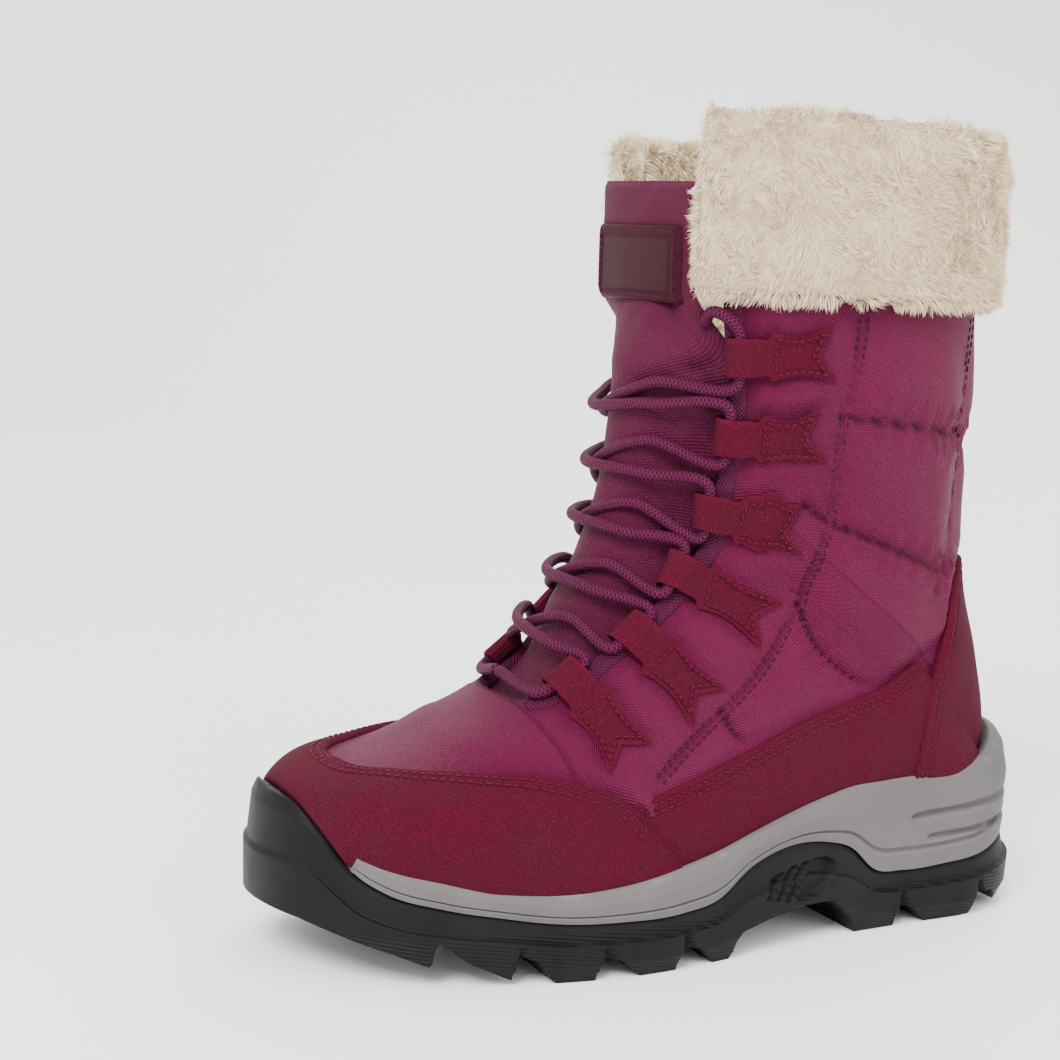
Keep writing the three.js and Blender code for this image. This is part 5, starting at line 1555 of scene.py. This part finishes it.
def overlay(edge, low, high, lift, thickness, turns=None):
    """A suede layer under an edge, from one section to another, with a rounded edge."""
    mesh = MeshData()
    for side in (1, -1):
        v = np.linspace(low, high, 170)
        start, end = edge_turn(edge, v, side)
        if turns is not None:
            start, end = turns(v, side, start, end)
        end = np.maximum(end, start + 1e-4)
        u = np.linspace(0, 1, 38)[None] ** 1.25
        turn = side * (start[:, None] + (end - start)[:, None] * u)
        rows = np.broadcast_to(v[:, None], turn.shape)
        points, normal = surface(rows, turn), form_normal(rows, turn * math.pi)
        stops = surface(v, side * start)
        stops = stops[start > 1e-3] if (start > 1e-3).any() else stops
        distance, _ = nearest(points, stops)
        height = lift + thickness * bullnose(distance / EDGE_ROUND)
        for inset in STITCH_ROWS:
            height -= DENT * soft(distance - inset, DENT_WIDTH)
        height += 0.12 * lattice_noise(points, 14, 3)
        share = along(points[..., 1])
        over = points[..., 2] - rubber_top(share)
        height = mix(height, -0.2, smoothstep(4, 1, over) * (share < 0.1))
        shown = points + normal * height[..., None]
        mesh.grid(shown, flip=side < 0)
        mesh.grid(np.stack([shown[:, 0], points[:, 0] - normal[:, 0] * 0.8], 1), flip=side > 0)
    return mesh


def up_to_counter(v, side, start, end):
    """Ends the side guards a little behind the heel counter's edge."""
    counter, _ = edge_turn(COUNTER_EDGE, v, side)
    return start, np.minimum(end, counter + 0.03)


class BOOT_OT_overlays(bpy.types.Operator):
    """Make the suede toe guard, side guards and heel counter"""

    bl_idname = "boot.overlays"
    bl_label = "Suede overlays"

    def execute(self, context):
        toe = overlay(TOE_EDGE, 0.0, 0.437, 0.9, 1.5)
        toe.piece("toe_guard_suede", suede_material(), "suede", ["toe_guard"])
        guards = overlay(SIDE_EDGE, 0.395, 0.805, 0.2, 1.1, up_to_counter)
        names = ["side_guard_lateral", "side_guard_medial"]
        guards.piece("side_guard_suede", suede_material(), "suede", names)
        counter = overlay(COUNTER_EDGE, 0.652, 0.884, 0.9, 1.5)
        counter.piece("heel_counter_suede", suede_material(), "suede", ["heel_counter"])
        return {"FINISHED"}


class BOOT_OT_tabs(bpy.types.Operator):
    """Make the six pairs of lace tabs"""

    bl_idname = "boot.tabs"
    bl_label = "Lace tabs"

    def execute(self, context):
        for side, name in ((1, "lateral"), (-1, "medial")):
            mesh = MeshData()
            for row in TABS:
                tab_mesh(mesh, row, side)
            names = [f"tab_{name}_{k + 1}" for k in range(len(TABS))]
            mesh.piece(f"tabs_{name}_suede", suede_material(), "suede", names)
        return {"FINISHED"}


# The tape's section: how far out from the throat's edge, and how far over the last
TAPE_SECTION = np.array([
    (5.2, 0.1), (5.0, 1.0), (3.2, 1.25), (0.6, 1.3), (-0.5, 0.8), (-0.9, -1.2), (-0.6, -3.2), (1.0, -3.9),
    (4.0, -3.8),
])


class BOOT_OT_tape(bpy.types.Operator):
    """Bind the throat's edge with woven tape"""

    bl_idname = "boot.tape"
    bl_label = "Edge tape"

    def execute(self, context):
        v = np.r_[THROAT_TIP, np.linspace(0.3845, 0.405, 16), np.linspace(0.409, 1.0, 150)]
        turn = THROAT(v)
        v, turn = np.r_[v[::-1], v[1:]], np.r_[turn[::-1], -turn[1:]]
        points, normal = averaged(surface(v, turn)), form_normal(v, turn * math.pi)
        outward = np.cross(normal, unit(np.gradient(points, axis=0)))
        out, over = TAPE_SECTION[None, :, :1], TAPE_SECTION[None, :, 1:]
        places = points[:, None] + outward[:, None] * out + normal[:, None] * over
        uv = np.broadcast_arrays(distances(points)[:, None], distances(TAPE_SECTION)[None])
        mesh = MeshData()
        mesh.grid(places, np.stack(uv, -1))
        mesh.piece("throat_tape", tape_material(), "nylon")
        return {"FINISHED"}


class BOOT_OT_tongue(bpy.types.Operator):
    """Make the padded tongue and its bare stitched patch"""

    bl_idname = "boot.tongue"
    bl_label = "Tongue and patch"

    def execute(self, context):
        v, s = np.broadcast_arrays(np.linspace(*TONGUE_ENDS, 210)[:, None], np.linspace(-1, 1, 66)[None])
        rest = tongue_front(v, s)
        bull = bullnose(np.minimum((1 - np.abs(s)) * TONGUE_HALF, (TONGUE_ENDS[1] - v) * 420) / 2.6)
        run = distances(rest[:, 33])
        uv = np.stack([s * TONGUE_HALF, np.broadcast_to(run[:, None], s.shape)], -1)
        front, back = MeshData(), MeshData()
        front.grid(tongue_point(v, s, mix(TONGUE / 2, TONGUE, bull) + tongue_creases(rest) * bull), uv)
        back.grid(tongue_point(v, s, mix(TONGUE / 2, 0.0, bull)), uv, flip=True)
        tongue = front.piece("tongue_nylon", ripstop_material(), "nylon", ["tongue"])
        back.piece("tongue_lining", lining_material(), "lining")
        patch_mesh().piece("tongue_patch_bare", patch_material(), "patch", ["tongue_patch"])
        patch_stitches().piece("tongue_patch_thread", thread_material(), "patch")
        return {"FINISHED"}


class BOOT_OT_lace(bpy.types.Operator):
    """Thread the braided lace through the tabs"""

    bl_idname = "boot.lace"
    bl_label = "Lace"

    def execute(self, context):
        mesh = MeshData()
        for side in (1, -1):
            mesh.grid(*sweep(lace_path(side), LACE_RADIUS))
        names = ["lace_bar"] + [f"lace_cross_{k}" for k in range(1, len(TABS))]
        mesh.piece("lace_braid", lace_material(), "lace", names)
        return {"FINISHED"}


class BOOT_OT_stitches(bpy.types.Operator):
    """Sew the seams, the overlays and the tabs"""

    bl_idname = "boot.stitches"
    bl_label = "Stitches"

    def execute(self, context):
        spacing = sizes().stitch_spacing / MM
        lines = upper_lines()
        del lines["spine", -1]
        seams, suede_rows, tabs = MeshData(), MeshData(), MeshData()
        for (name, side), (v, turn) in lines.items():
            lift, shifts = (-1.7, (0,)) if name in LEVEL_SEAMS else (-0.1, (-1.5, 1.5))
            for across in shifts:
                stitch_row(seams, *raised(v, turn, lift, across), spacing, 1.9, 0.3)
        for edge, low, high, lift in (
            (TOE_EDGE, 0.118, 0.43, 2.25), (SIDE_EDGE, 0.42, 0.79, 1.2), (COUNTER_EDGE, 0.665, 0.882, 2.25),
        ):
            for side in (1, -1):
                v, turn = edge_path(edge, side, low, high)
                for inset in STITCH_ROWS:
                    stitch_row(suede_rows, *raised(v, turn, lift, inset * -side), spacing)
        for side in (1, -1):
            for row in TABS:
                tab_stitches(tabs, row, side)
        seams.piece("seam_thread", seam_material(), "nylon")
        suede_rows.piece("overlay_thread", thread_material(), "suede")
        tabs.piece("tab_thread", thread_material(), "suede")
        return {"FINISHED"}


class BOOT_OT_cuff(bpy.types.Operator):
    """Make the turned down cuff and its fur"""

    bl_idname = "boot.cuff"
    bl_label = "Fur cuff"

    def execute(self, context):
        cuff_skin().piece("cuff_skin", cuff_material(), "fur", ["fur_cuff"])
        rng = np.random.default_rng(7)
        for part in (1, 2):
            hairs = cuff_hairs(rng, sizes().hair_count, sizes().hair_length / MM)
            hairs.piece(f"cuff_fur_{part}", cuff_material(), "fur")
        return {"FINISHED"}


class BOOT_OT_sole(bpy.types.Operator):
    """Make the foam midsole and the lugged rubber outsole"""

    bl_idname = "boot.sole"
    bl_label = "Sole"

    def execute(self, context):
        foam_mesh().piece("midsole_foam", foam_material(), "foam", ["midsole"])
        rubber_mesh().piece("outsole_rubber", sole_material(), "rubber", ["outsole"])
        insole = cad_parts["insole"]
        insole.data.materials.clear()
        insole.data.materials.append(lining_material())
        return {"FINISHED"}


STEPS = (
    BOOT_OT_stage, BOOT_OT_sole, BOOT_OT_upper, BOOT_OT_overlays, BOOT_OT_tongue, BOOT_OT_tape, BOOT_OT_tabs,
    BOOT_OT_lace, BOOT_OT_stitches, BOOT_OT_cuff,
)


class BOOT_PT_panel(bpy.types.Panel):
    """Lists the boot's sizes, colours and pieces."""

    bl_label = "Snow boot"
    bl_idname = "BOOT_PT_panel"
    bl_space_type = "VIEW_3D"
    bl_region_type = "UI"
    bl_category = "Snow boot"

    def draw(self, context):
        layout = self.layout
        for group in (context.scene.boot_sizes, context.scene.boot_colours):
            for name in group.__annotations__:
                layout.prop(group, name)
        for step in STEPS:
            layout.operator(step.bl_idname)


CLASSES = (BootSizes, BootColours, *STEPS, BOOT_PT_panel)


def register():
    for made in CLASSES:
        bpy.utils.register_class(made)
    bpy.types.Scene.boot_sizes = PointerProperty(type=BootSizes)
    bpy.types.Scene.boot_colours = PointerProperty(type=BootColours)


def unregister():
    del bpy.types.Scene.boot_colours
    del bpy.types.Scene.boot_sizes
    for made in reversed(CLASSES):
        bpy.utils.unregister_class(made)


def main():
    register()
    for step in STEPS:
        getattr(bpy.ops.boot, step.bl_idname.split(".")[1])()


if __name__ == "__main__":
    main()
